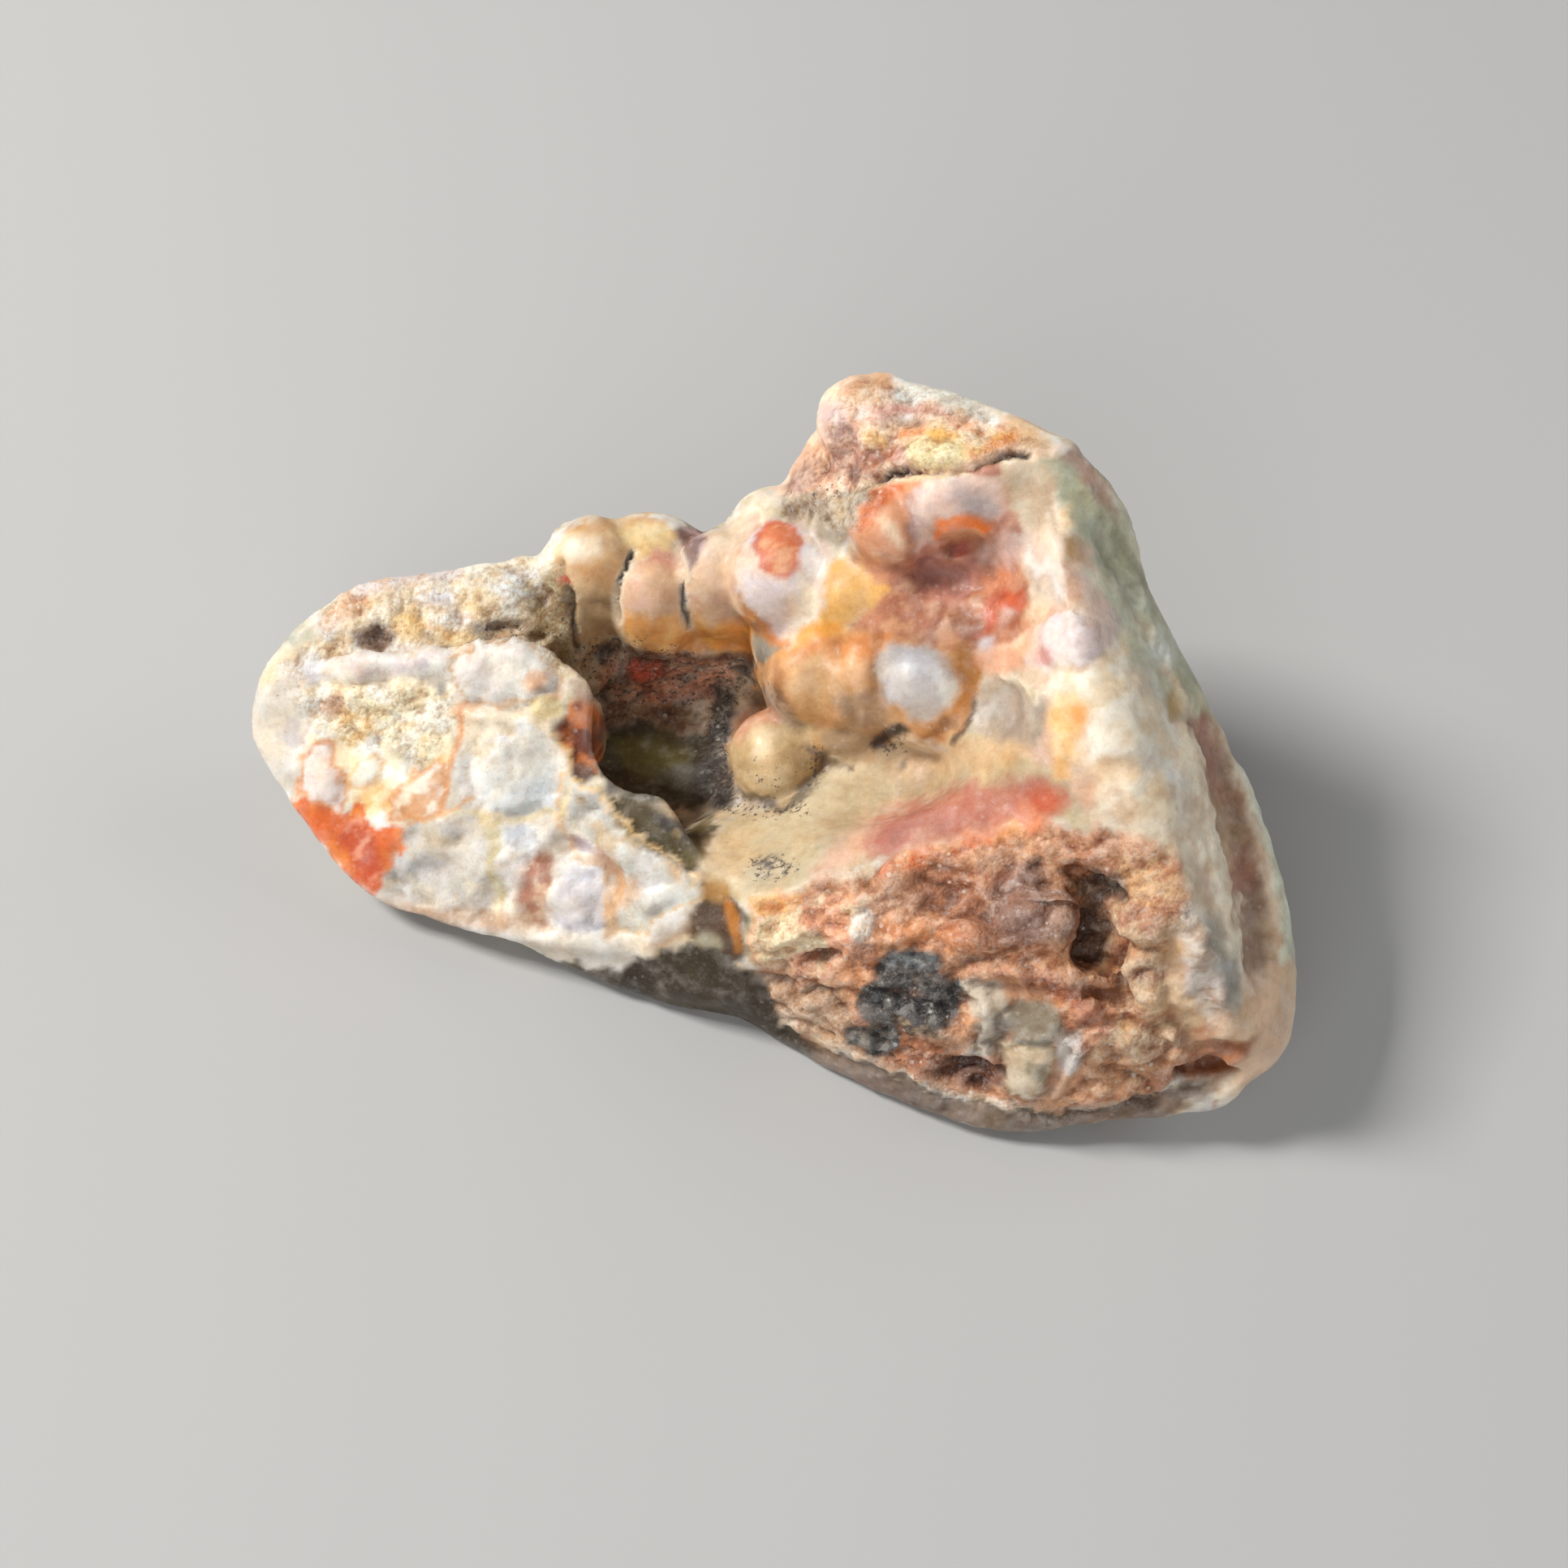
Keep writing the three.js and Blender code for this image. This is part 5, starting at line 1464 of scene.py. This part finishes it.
        (1100, 1325), (1170, 1358), (1260, 1372), (1360, 1364), (1490, 1332), (1490, 1352),
        (1380, 1392), (1280, 1398), (1160, 1384), (1040, 1345), (950, 1310), (960, 1266), (1030, 1296)],
        6, 0.85, mix=((104, 74, 56), 1.6, 0.35)),
    # the tan slope
    "slope": Patch((204, 186, 150), [
        (868, 1085), (885, 1015), (900, 1000), (940, 998), (968, 990), (996, 975), (1020, 945),
        (1110, 915), (1150, 928), (1200, 900), (1300, 950), (1340, 1010), (1250, 1015), (1150, 1038),
        (1080, 1056), (1000, 1092), (930, 1116), (900, 1100)], 8, 1, mix=((194, 170, 134), 2.6, 0.4)),
    "slope yellow": Patch((214, 174, 126), oval((1180, 935), (90, 22), 10), 14, 0.7),
    "slope left": Patch((216, 190, 150), oval((900, 1055), (40, 30), 20), 12, 0.7),
    "slope pink": Patch((222, 172, 144), [
        (1000, 1075), (1060, 1010), (1110, 985), (1100, 1030), (1060, 1060), (1010, 1095)], 14, 0.75),
    "pink band": Patch((184, 108, 90), [
        (1062, 1044), (1084, 1006), (1130, 984), (1180, 970), (1230, 962), (1290, 960), (1315, 982),
        (1290, 1008), (1250, 1016), (1200, 1028), (1150, 1040), (1100, 1058)], 13, 0.92,
        mix=((196, 128, 102), 2.0, 0.4)),
    "orange spot of the band": Patch(
        (208, 96, 56), oval((1282, 992), (28, 18), 20), 13, 0.85, mix=((216, 134, 94), 1, 0.4)),
    "orange crest": Patch((226, 126, 68), [
        (1080, 1070), (1110, 1052), (1180, 1030), (1260, 1012), (1300, 1010), (1290, 1028),
        (1220, 1040), (1140, 1062), (1090, 1084)], 8, 0.85, mix=((236, 166, 104), 1.0, 0.4)),
    "yellow crest": Patch((240, 190, 110), [
        (925, 1110), (960, 1098), (985, 1106), (970, 1122), (935, 1128)], 7, 0.85,
        mix=((236, 152, 84), 0.9, 0.4)),
    "dendrite": Patch(
        (96, 92, 92), oval((950, 1068), (20, 14), -20), 5, 0.8, mix=((216, 196, 160), 0.35, 0.45)),
    "dark fleck": Patch((120, 104, 86), oval((1113, 943), (4, 9), -20), 3, 0.8),
    # the notch, and the wall beneath the block in painted shadow
    "notch": Patch((58, 32, 4), [
        (866, 1092), (895, 1086), (914, 1112), (920, 1160), (912, 1186), (880, 1180), (852, 1162),
        (842, 1146), (858, 1118)], 7, 0.95, mix=((72, 44, 12), 1.8, 0.4)),
    "notch ochre": Patch((200, 148, 76), oval((882, 1097), (20, 13)), 8, 0.85),
    "notch amber": Patch((184, 118, 42), [
        (892, 1104), (904, 1108), (914, 1136), (916, 1172), (906, 1172), (900, 1140)], 4, 0.9),
    "notch pale": Patch((190, 184, 156), oval((874, 1160), (18, 12), -20), 7, 0.7),
    # Painted shadow of the block's overhang on the wall below it.
    "wall beneath the block in painted shadow": Patch((58, 46, 26), [
        (620, 1172), (740, 1194), (800, 1178), (850, 1162), (912, 1186), (940, 1215), (966, 1262),
        (1010, 1296), (990, 1306), (880, 1290), (760, 1265), (650, 1215)], 6, 1,
        mix=((72, 60, 36), 2.4, 0.3)),
    "dark spot of the wall": Patch((44, 32, 20), oval((788, 1210), (18, 26)), 6, 0.85),
    "red of the underside": Patch((96, 56, 40), oval((668, 1190), (26, 8), -30), 5, 0.8),
}

# Dark or pale lines: the line in the frame, half width in pixels, colour and strength.
LINES = {
    "crack under the top": ([(1086, 590), (1098, 584), (1118, 578)], 5, (56, 46, 42), 0.95),
    "crack, middle": ([(1130, 580), (1170, 582), (1200, 577), (1228, 566)], 3, (168, 124, 94), 0.7),
    "crack, right": ([(1234, 562), (1248, 557), (1266, 559)], 4.5, (56, 50, 46), 0.9),
    "line beside the ridge": ([
        (1258, 690), (1280, 716), (1310, 745), (1340, 768), (1362, 790)], 5, (186, 148, 120), 0.4),
    "vein of the block": ([(600, 1004), (640, 1012), (690, 998), (704, 962)], 4, (240, 222, 176), 0.75),
    "vein of the block 3": ([
        (690, 1005), (704, 1056), (742, 1068), (752, 1110), (746, 1150)], 3.5, (226, 190, 150), 0.75),
    "vein of the block 4": ([(560, 1000), (600, 1004), (612, 1040)], 4, (232, 216, 176), 0.7),
    "crack 1 edge": ([
        (779, 681), (771, 696), (764, 714), (760, 740), (762, 765)], 8, (240, 226, 200), 0.75),
    "crack 1": ([(778, 682), (771, 696), (764, 716)], 3.5, (56, 50, 50), 0.95),
    "crack 2 edge": ([(832, 672), (842, 700), (839, 735), (848, 768)], 8, (238, 224, 204), 0.7),
    "crack 2": ([(841, 722), (843, 742), (848, 768)], 3.5, (60, 46, 46), 0.95),
    "crack at the crust": ([(698, 716), (706, 755), (712, 800)], 3.5, (100, 74, 44), 0.8),
    "dot at the crust": ([(692, 714), (698, 718)], 5, (214, 100, 50), 0.9),
    "orange vein": ([
        (566, 872), (568, 905), (558, 938), (550, 970), (544, 1000)], 3.5, (234, 156, 88), 0.85),
    "vein across": ([(500, 1016), (545, 1004), (580, 985)], 3, (236, 176, 112), 0.7),
    # A painted shadow under the lumps.
    "painted shadow under the lumps": ([(1078, 918), (1095, 905), (1112, 902)], 8, (40, 32, 28), 0.95),
    # A painted shadow in the gap right of the lumps.
    "painted shadow right of the lumps": ([(1203, 862), (1200, 876), (1190, 896), (1174, 916)], 4, (72, 50, 34), 0.85),
    # Painted shade in the crease beside the foot of the lumps.
    "painted shade left of the foot": ([(990, 918), (1020, 940), (1050, 946)], 4, (110, 84, 56), 0.8),
    "fringe": ([
        (910, 972), (935, 990), (960, 998), (985, 986), (1004, 962), (1014, 935)], 6, (64, 54, 46),
        0.7),
    "edge of the block": ([
        (690, 900), (705, 950), (740, 985), (790, 1030), (860, 1084)], 3, (236, 200, 140), 0.7),
    # Painted shadow of the block's edge on the pocket's lip.
    "painted shadow behind the block's edge": ([(800, 1045), (830, 1062), (850, 1076)], 3, (90, 80, 60), 0.7),
}

# Where dark grains lie: outlines in the frame, and how thickly.
SPECKS = {
    "tip": (oval((348, 842), (14, 20)), 0.3),
    "rim holes": ([(440, 800), (450, 775), (500, 772), (490, 800)], 0.45),
    "strip by the knobs": ([(565, 792), (600, 765), (680, 765), (690, 790), (640, 785)], 0.5),
    "olive crust": ([(655, 780), (690, 750), (712, 800), (700, 850), (680, 810)], 0.35),
    "cream zone": ([(380, 900), (400, 845), (480, 840), (490, 880), (440, 910)], 0.15),
    "pocket wall": ([
        (700, 800), (750, 775), (860, 800), (950, 830), (905, 880), (890, 860), (800, 880), (740, 870)],
        0.6),
    "by the ball": ([(870, 860), (905, 860), (896, 930), (908, 980), (890, 1005), (872, 960)], 1),
    "fringe": ([(895, 975), (930, 992), (990, 985), (1000, 1000), (950, 1010), (890, 1005)], 0.8),
    "ball": (oval((950, 950), (30, 24)), 0.35),
    "right of the ball": (oval((1005, 945), (12, 30)), 0.75),
    "dendrite": (oval((950, 1068), (30, 20)), 0.8),
    "gap": (oval((1095, 915), (24, 16)), 0.8),
    "crust behind the eye": (oval((1030, 602), (30, 14), 20), 0.5),
}

# The colours of the stone where no patch lies, along the bands of the rind.
RIND_BANDS = [
    (0.0, (142, 138, 116)), (0.2, (184, 180, 154)), (0.34, (222, 208, 178)), (0.45, (236, 230, 216)),
    (0.55, (214, 206, 196)), (0.64, (232, 214, 180)), (0.74, (214, 172, 140)), (0.86, (184, 122, 92)),
    (1.0, (214, 150, 96)),
]


def blended(colours, colour, share):
    """The colours drawn towards another by a share."""
    return colours + (colour - colours) * share[:, None]


def rind_colour(points):
    """Soft bands of cream, grey-green, white quartz and brown-pink stain, with rusty veins."""
    bend = np.stack([layered_noise(points, wave=5, seed=seed, octaves=4, falloff=0.6)
                     for seed in (81, 82, 83)], axis=1)
    bent = points + 1.8 * bend
    bands = layered_noise(bent * (1, 1, 1.5), wave=11, seed=84, octaves=5, falloff=0.6)
    stops = [stop for stop, _ in RIND_BANDS]
    shades = np.array([linear(*colour) for _, colour in RIND_BANDS])
    level = 0.5 + 0.55 * bands
    colours = np.stack([np.interp(level, stops, shades[:, a]) for a in range(3)], axis=1)
    vein = 1 - ramp(np.abs(layered_noise(bent, wave=7, seed=85, falloff=0.6)), 0.01, 0.07)
    vein *= ramp(layered_noise(points, wave=6, seed=86, octaves=2), 0, 0.35)
    return blended(colours, linear(*BRICK), 0.75 * vein)


def tinted(points, patch, seed):
    """A patch's colour at the points, broken up by the flecks of its second colour."""
    tint = np.repeat(linear(*patch.colour)[None], len(points), axis=0)
    if not patch.mix:
        return tint
    colour, size, share = patch.mix
    flecks = layered_noise(points, wave=FLECK_WAVE * size, seed=seed, falloff=0.6)
    shift = FLECK_SPREAD * share
    return blended(tint, linear(*colour), ramp(flecks, 0.5 - shift, 0.9 - shift))


def painted(points, view):
    """The base colour at each point, and how thickly dark grains lie there."""
    colours = rind_colour(points)
    for number, patch in enumerate(PATCHES.values()):
        index, place = view.near(patch.outline, PATCH_MARGIN)
        inward = -outline_distance(place, patch.outline)
        inside = patch.strength * view.seen[index] * ramp(inward, -patch.soft, patch.soft)
        tint = tinted(points[index], patch, FIRST_FLECK_SEED + number)
        colours[index] = blended(colours[index], tint, inside)
        if patch.vein:
            colour, width = patch.vein
            share = np.exp(-(inward / width) ** 2) * patch.strength * view.seen[index]
            colours[index] = blended(colours[index], linear(*colour), VEIN_STRENGTH * share)
    for line, half_width, colour, strength in LINES.values():
        index, place = view.near(line, LINE_REACH * half_width)
        reach = line_distance(place, line) / half_width
        share = strength * np.exp(-reach ** 4) * view.seen[index]
        colours[index] = blended(colours[index], linear(*colour), share)
    specks = np.zeros(len(points))
    for outline, strength in SPECKS.values():
        index, place = view.near(outline, SPECK_MARGIN)
        share = 1 - ramp(outline_distance(place, outline), -SPECK_SOFTNESS, SPECK_SOFTNESS)
        specks[index] = np.maximum(specks[index], strength * share * view.seen[index])
    return colours, specks


def mottled(colours, points):
    """The colours with slow and quick changes of lightness and warmth."""
    light = 0.98 + 0.16 * layered_noise(points, wave=2.4, seed=301, octaves=4, falloff=0.75)
    warmth = 0.1 * layered_noise(points, wave=3.3, seed=305, octaves=4, falloff=0.7)
    shift = np.stack([1 + 0.5 * warmth, 1 - 0.2 * warmth, 1 - 1.4 * warmth], axis=1)
    return colours * light[:, None] * shift


def dirt_and_painted_shade(colours, moved, quads, kinds):
    """The colours darker in hollows and creases, as dirt and painted shade, and paler on ridges."""
    rough = np.maximum(kinds["crust"], kinds["face"])
    hollow = ramp(depth_below(moved, quads, rounds=50), 0.05, 0.4)
    crease = ramp(depth_below(moved, quads, rounds=6), 0.012, 0.06)
    ridge = ramp(-depth_below(moved, quads, rounds=10), 0.015, 0.09)
    # Dark brown in the hollows and creases: partly dirt, partly painted shade.
    colours = blended(colours, colours * HOLLOW_DIRT_AND_SHADE, hollow * (0.4 + 0.3 * rough))
    colours = blended(colours, colours * CREASE_DIRT_AND_SHADE, crease * (0.2 + 0.5 * rough))
    pale = 1 - (1 - np.clip(colours, 0, 1)) * 0.75
    return np.clip(blended(colours, pale, 0.3 * ridge), 0, BRIGHTEST)


# ---------------------------------------------------------------- the material

# The shader's own settings: the gloss of chalcedony, and a little light that wanders under the skin.
SHADER = {
    "IOR": 1.54,
    "Specular IOR Level": 0.34,
    "Subsurface Weight": 0.2,
    "Subsurface Radius": (1.0, 0.55, 0.3),
    "Subsurface Scale": 0.9 * MM,
    "Coat Weight": 0.06,
    "Coat Roughness": 0.2,
}

# What a colour's deeper tone is multiplied by, and the pale that its paler tone has a share of.
DEEPER = (0.6, 0.45, 0.34)
PALE = (0.95, 0.9, 0.82)
PALE_SHARE = 0.3

# The colours of a glint and of a dark grain.
GLINT = (0.92, 0.86, 0.76)
DARK_GRAIN = (0.06, 0.045, 0.04)

# Crisp-edged flecks in the stone: how many per mm, the noise levels where they start and are full,
# their strength, and what the colour is multiplied by there.
MINERAL_MOTTLES = [
    (0.95, 0.55, 0.6, 0.5, (1.0, 0.78, 0.56)),
    (1.9, 0.45, 0.39, 0.55, (0.66, 0.5, 0.38)),
    (2.7, 0.56, 0.61, 0.45, (0.8, 0.82, 0.84)),
    (4.6, 0.42, 0.37, 0.5, (0.5, 0.36, 0.27)),
]

# How deep the bumps finer than the mesh are, in mm: the grain, the fine grain and the pits.
GRAIN_DEPTH = 0.13
FINE_DEPTH = 0.035
PIT_DEPTH = 0.05

# The maps that the mesh carries for the material, besides its tint.
MAPS = ("crust", "face", "quartz", "matte", "specks")


class Network:
    """A material's nodes, with short ways to add those that the stone needs.

    A value is a number, a colour or a node's output. Noises and cells have per_mm features in a mm.
    """

    def __init__(self, material):
        self.nodes = material.node_tree.nodes
        self.links = material.node_tree.links
        in_mm = self.add("ShaderNodeVectorMath", operation="SCALE")
        in_mm.inputs["Scale"].default_value = 1 / MM
        self.links.new(self.add("ShaderNodeTexCoord").outputs["Object"], in_mm.inputs[0])
        self.place = in_mm.outputs[0]

    def add(self, kind, **settings):
        """A new node of a kind, with its own settings."""
        node = self.nodes.new(kind)
        for name, value in settings.items():
            setattr(node, name, value)
        return node

    def fill(self, socket, value):
        """Sets a socket to a number or a colour, or links an output to it."""
        if isinstance(value, (int, float)):
            socket.default_value = value
        elif isinstance(value, tuple):
            socket.default_value = (*value, 1)
        else:
            self.links.new(value, socket)

    def map(self, name):
        """What the mesh carries under a name."""
        return self.add("ShaderNodeAttribute", attribute_name=name).outputs

    def noise(self, per_mm, detail, roughness=0.6):
        """Soft noise around 0.5, with finer layers as the detail grows."""
        node = self.add("ShaderNodeTexNoise")
        for name, value in (("Scale", per_mm), ("Detail", detail), ("Roughness", roughness)):
            node.inputs[name].default_value = value
        self.links.new(self.place, node.inputs["Vector"])
        return node.outputs["Fac"]

    def cells(self, per_mm):
        """Scattered cells: the distance from their middles, and two random values for each."""
        node = self.add("ShaderNodeTexVoronoi")
        node.inputs["Scale"].default_value = per_mm
        self.links.new(self.place, node.inputs["Vector"])
        parts = self.add("ShaderNodeSeparateColor")
        self.links.new(node.outputs["Color"], parts.inputs[0])
        return node.outputs["Distance"], parts.outputs[0], parts.outputs[1]

    def span(self, value, low, high, to_low=0.0, to_high=1.0):
        """A value brought from low and high to two others, and held there beyond them."""
        node = self.add("ShaderNodeMapRange")
        for name, number in (("From Min", low), ("From Max", high),
                             ("To Min", to_low), ("To Max", to_high)):
            node.inputs[name].default_value = number
        self.links.new(value, node.inputs["Value"])
        return node.outputs["Result"]

    def maths(self, operation, a, b):
        """Two values joined by one of Blender's maths operations."""
        node = self.add("ShaderNodeMath", operation=operation)
        self.fill(node.inputs[0], a)
        self.fill(node.inputs[1], b)
        return node.outputs[0]

    def times(self, a, b):
        return self.maths("MULTIPLY", a, b)

    def plus(self, a, b):
        return self.maths("ADD", a, b)

    def larger(self, a, b):
        return self.maths("MAXIMUM", a, b)

    def mixed(self, share, a, b, blend="MIX"):
        """Two colours, mixed by a share."""
        node = self.add("ShaderNodeMix", data_type="RGBA", blend_type=blend)
        self.fill(node.inputs[0], share)
        self.fill(node.inputs[6], a)
        self.fill(node.inputs[7], b)
        return node.outputs[2]

    def mixed_numbers(self, share, a, b):
        """Two numbers, mixed by a share."""
        node = self.add("ShaderNodeMix", data_type="FLOAT")
        self.fill(node.inputs[0], share)
        self.fill(node.inputs[2], a)
        self.fill(node.inputs[3], b)
        return node.outputs[0]


def stone_material():
    """Chalcedony: patches of colour, grain at two scales, dark grains, and a waxy gloss."""
    material = bpy.data.materials.new("chalcedony")
    material.use_nodes = True
    shader = material.node_tree.nodes["Principled BSDF"]
    for name, value in SHADER.items():
        shader.inputs[name].default_value = value
    net = Network(material)
    tint = net.map("tint")["Color"]
    crust, face, quartz, matte, specks = [net.map(name)["Fac"] for name in MAPS]
    rough_share = net.larger(crust, face)
    busy = net.plus(net.times(rough_share, 0.7), 0.3)
    stony = net.larger(rough_share, net.times(quartz, 0.25))
    stony = net.plus(net.times(stony, 0.75), 0.25)
    deeper = net.mixed(1.0, tint, DEEPER, "MULTIPLY")
    paler = net.mixed(PALE_SHARE, tint, PALE)

    # a slow veil, then the grain of the rough ground
    veil = net.noise(0.8, detail=4)
    grain = net.noise(2.6, detail=5, roughness=0.65)
    fine = net.noise(8, detail=4, roughness=0.7)
    pits, kind_of_grain, dullness = net.cells(3.4)
    colour = net.mixed(net.span(veil, 0.3, 0.5, 0.35, 0.0), tint, deeper)
    colour = net.mixed(net.span(veil, 0.52, 0.72, 0.0, 0.45), colour, paler)
    colour = net.mixed(net.times(net.span(grain, 0.36, 0.52, 0.6, 0.0), busy), colour, deeper)
    colour = net.mixed(net.times(net.span(fine, 0.54, 0.68, 0.0, 0.55), busy), colour, paler)
    deep_grains = net.times(net.span(kind_of_grain, 0.8, 0.86), rough_share)
    colour = net.mixed(net.times(deep_grains, 0.5), colour, deeper)

    # flecks of other minerals, pale flecks, glints and dark grains
    for per_mm, low, high, strength, shift in MINERAL_MOTTLES:
        flecks = net.noise(per_mm, detail=6, roughness=0.68)
        share = net.times(net.span(flecks, low, high, 0.0, strength), stony)
        colour = net.mixed(share, colour, net.mixed(1.0, tint, shift, "MULTIPLY"))
    flecks = net.noise(1.35, detail=6, roughness=0.7)
    colour = net.mixed(net.times(net.span(flecks, 0.54, 0.6, 0.0, 0.5), stony), colour, paler)
    reach, kind_of_glint, _ = net.cells(2.3)
    glint = net.times(net.span(reach, 0.34, 0.22), net.span(kind_of_glint, 0.68, 0.78))
    glint = net.times(glint, net.span(net.noise(0.7, detail=3), 0.46, 0.6, 0.05, 0.5))
    colour = net.mixed(net.times(glint, stony), colour, GLINT)
    thickness = net.plus(net.noise(3.4, detail=4, roughness=0.7), net.times(specks, 0.14))
    dark = net.times(net.span(thickness, 0.64, 0.68), net.span(specks, 0.02, 0.2))
    colour = net.mixed(net.times(dark, 0.85), colour, DARK_GRAIN)
    net.fill(shader.inputs["Base Color"], colour)

    # waxy where the stone is smooth, dull where it is rough, granular or matte
    gloss = net.span(net.noise(1.6, detail=3), 0.3, 0.7, 0.38, 0.56)
    dull = net.span(dullness, 0.0, 1.0, 0.4, 0.75)
    share = net.larger(rough_share, net.times(quartz, 0.2))
    share = net.larger(share, net.times(matte, 0.8))
    net.fill(shader.inputs["Roughness"], net.mixed_numbers(share, gloss, dull))

    # the bumps too fine for the mesh
    depth = net.plus(net.times(grain, GRAIN_DEPTH), net.times(fine, FINE_DEPTH))
    depth = net.times(depth, net.plus(busy, net.times(quartz, 0.15)))
    pits = net.times(net.times(pits, rough_share), PIT_DEPTH)
    bump = net.add("ShaderNodeBump")
    bump.inputs["Strength"].default_value = 1
    bump.inputs["Distance"].default_value = MM
    net.fill(bump.inputs["Height"], net.maths("SUBTRACT", depth, pits))
    net.fill(shader.inputs["Normal"], bump.outputs["Normal"])
    return material


# ---------------------------------------------------------------- the stone

def stone_object():
    """The stone's fine surface, with its colours and maps, in the place of the plain solid."""
    points, quads = surface(stone_field())
    view = View(points, quads)
    maps = surface_kinds(view, points)
    moved = weathered(worn(points, quads, view), quads, view, maps)
    colours, maps["specks"] = painted(points, view)
    # Hollows and creases get dirt and painted shade, and ridges get paler.
    colours = dirt_and_painted_shade(mottled(colours, points), moved, quads, maps)
    mesh = bpy.data.meshes.new("jasper")
    mesh.from_pydata((moved * MM).tolist(), [], quads.tolist())
    mesh.shade_smooth()
    tint = mesh.attributes.new("tint", "FLOAT_COLOR", "POINT")
    tint.data.foreach_set("color", np.column_stack([colours, np.ones(len(colours))]).ravel())
    for name in MAPS:
        mesh.attributes.new(name, "FLOAT", "POINT").data.foreach_set("value", maps[name])
    mesh.materials.append(stone_material())
    stone = bpy.data.objects.new("jasper_surface", mesh)
    bpy.context.collection.objects.link(stone)
    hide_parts("ocean_jasper")
    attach(stone, "root")


# ---------------------------------------------------------------- floor, lights and camera

# The floor: how far it reaches in metres, and its pale grey.
FLOOR_REACH = 1.5
FLOOR_COLOUR = (0.46, 0.46, 0.455, 1)
FLOOR_ROUGHNESS = 0.8

# Square soft lights, each in a direction from the stone: its distance and size in metres, its
# power in watts, and its colour.
LIGHTS = {
    "key": ((-0.66, 0.16, 0.73), 0.5, 0.13, 2.75, (1, 0.975, 0.94)),
    "side fill": ((0.9, 0.25, 0.45), 0.6, 0.35, 0.9, (1, 1, 1)),
    "front fill": ((-0.25, -0.85, 0.5), 0.6, 0.4, 1.3, (1, 1, 1)),
}

# The faint light from all around.
STUDIO_COLOUR = (0.94, 0.96, 1, 1)
STUDIO_STRENGTH = 0.19


def floor():
    """A plain pale floor for the stone to stand on."""
    corners = [(-1, -1), (1, -1), (1, 1), (-1, 1)]
    mesh = bpy.data.meshes.new("floor")
    mesh.from_pydata([(FLOOR_REACH * x, FLOOR_REACH * y, 0) for x, y in corners], [], [(0, 1, 2, 3)])
    material = bpy.data.materials.new("floor")
    material.use_nodes = True
    shader = material.node_tree.nodes["Principled BSDF"]
    shader.inputs["Base Color"].default_value = FLOOR_COLOUR
    shader.inputs["Roughness"].default_value = FLOOR_ROUGHNESS
    mesh.materials.append(material)
    plane = bpy.data.objects.new("floor", mesh)
    bpy.context.collection.objects.link(plane)


def softbox(name, towards, distance, size, power, tint):
    """A square area light in a direction from the stone, aimed at it."""
    data = bpy.data.lights.new(name, "AREA")
    data.size = size
    data.energy = power
    data.color = tint
    light = bpy.data.objects.new(name, data)
    bpy.context.collection.objects.link(light)
    direction = Vector(towards).normalized()
    light.location = Vector(VIEW_TARGET * MM) + direction * distance
    light.rotation_euler = direction.to_track_quat("Z", "Y").to_euler()


def lights():
    """The three soft lights, the faint light all around, and plain screen colours."""
    for name, settings in LIGHTS.items():
        softbox(name, *settings)
    world = bpy.data.worlds.new("studio")
    world.use_nodes = True
    background = world.node_tree.nodes["Background"]
    background.inputs["Color"].default_value = STUDIO_COLOUR
    background.inputs["Strength"].default_value = STUDIO_STRENGTH
    bpy.context.scene.world = world
    bpy.context.scene.view_settings.view_transform = "Standard"


def camera():
    """The camera, at the viewing angle of VIEW_ELEVATION and looking at VIEW_TARGET."""
    data = bpy.data.cameras.new("camera")
    data.sensor_width = SENSOR_MM
    data.lens = FOCAL_PIXELS / FRAME_PIXELS * SENSOR_MM
    data.clip_start = NEAREST_SEEN_M
    eye = bpy.data.objects.new("camera", data)
    bpy.context.collection.objects.link(eye)
    eye.location = Vector(CAMERA * MM)
    eye.rotation_euler = Vector(-FORWARD).to_track_quat("Z", "Y").to_euler()
    bpy.context.scene.camera = eye


def main():
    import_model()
    stone_object()
    floor()
    lights()
    camera()


main()
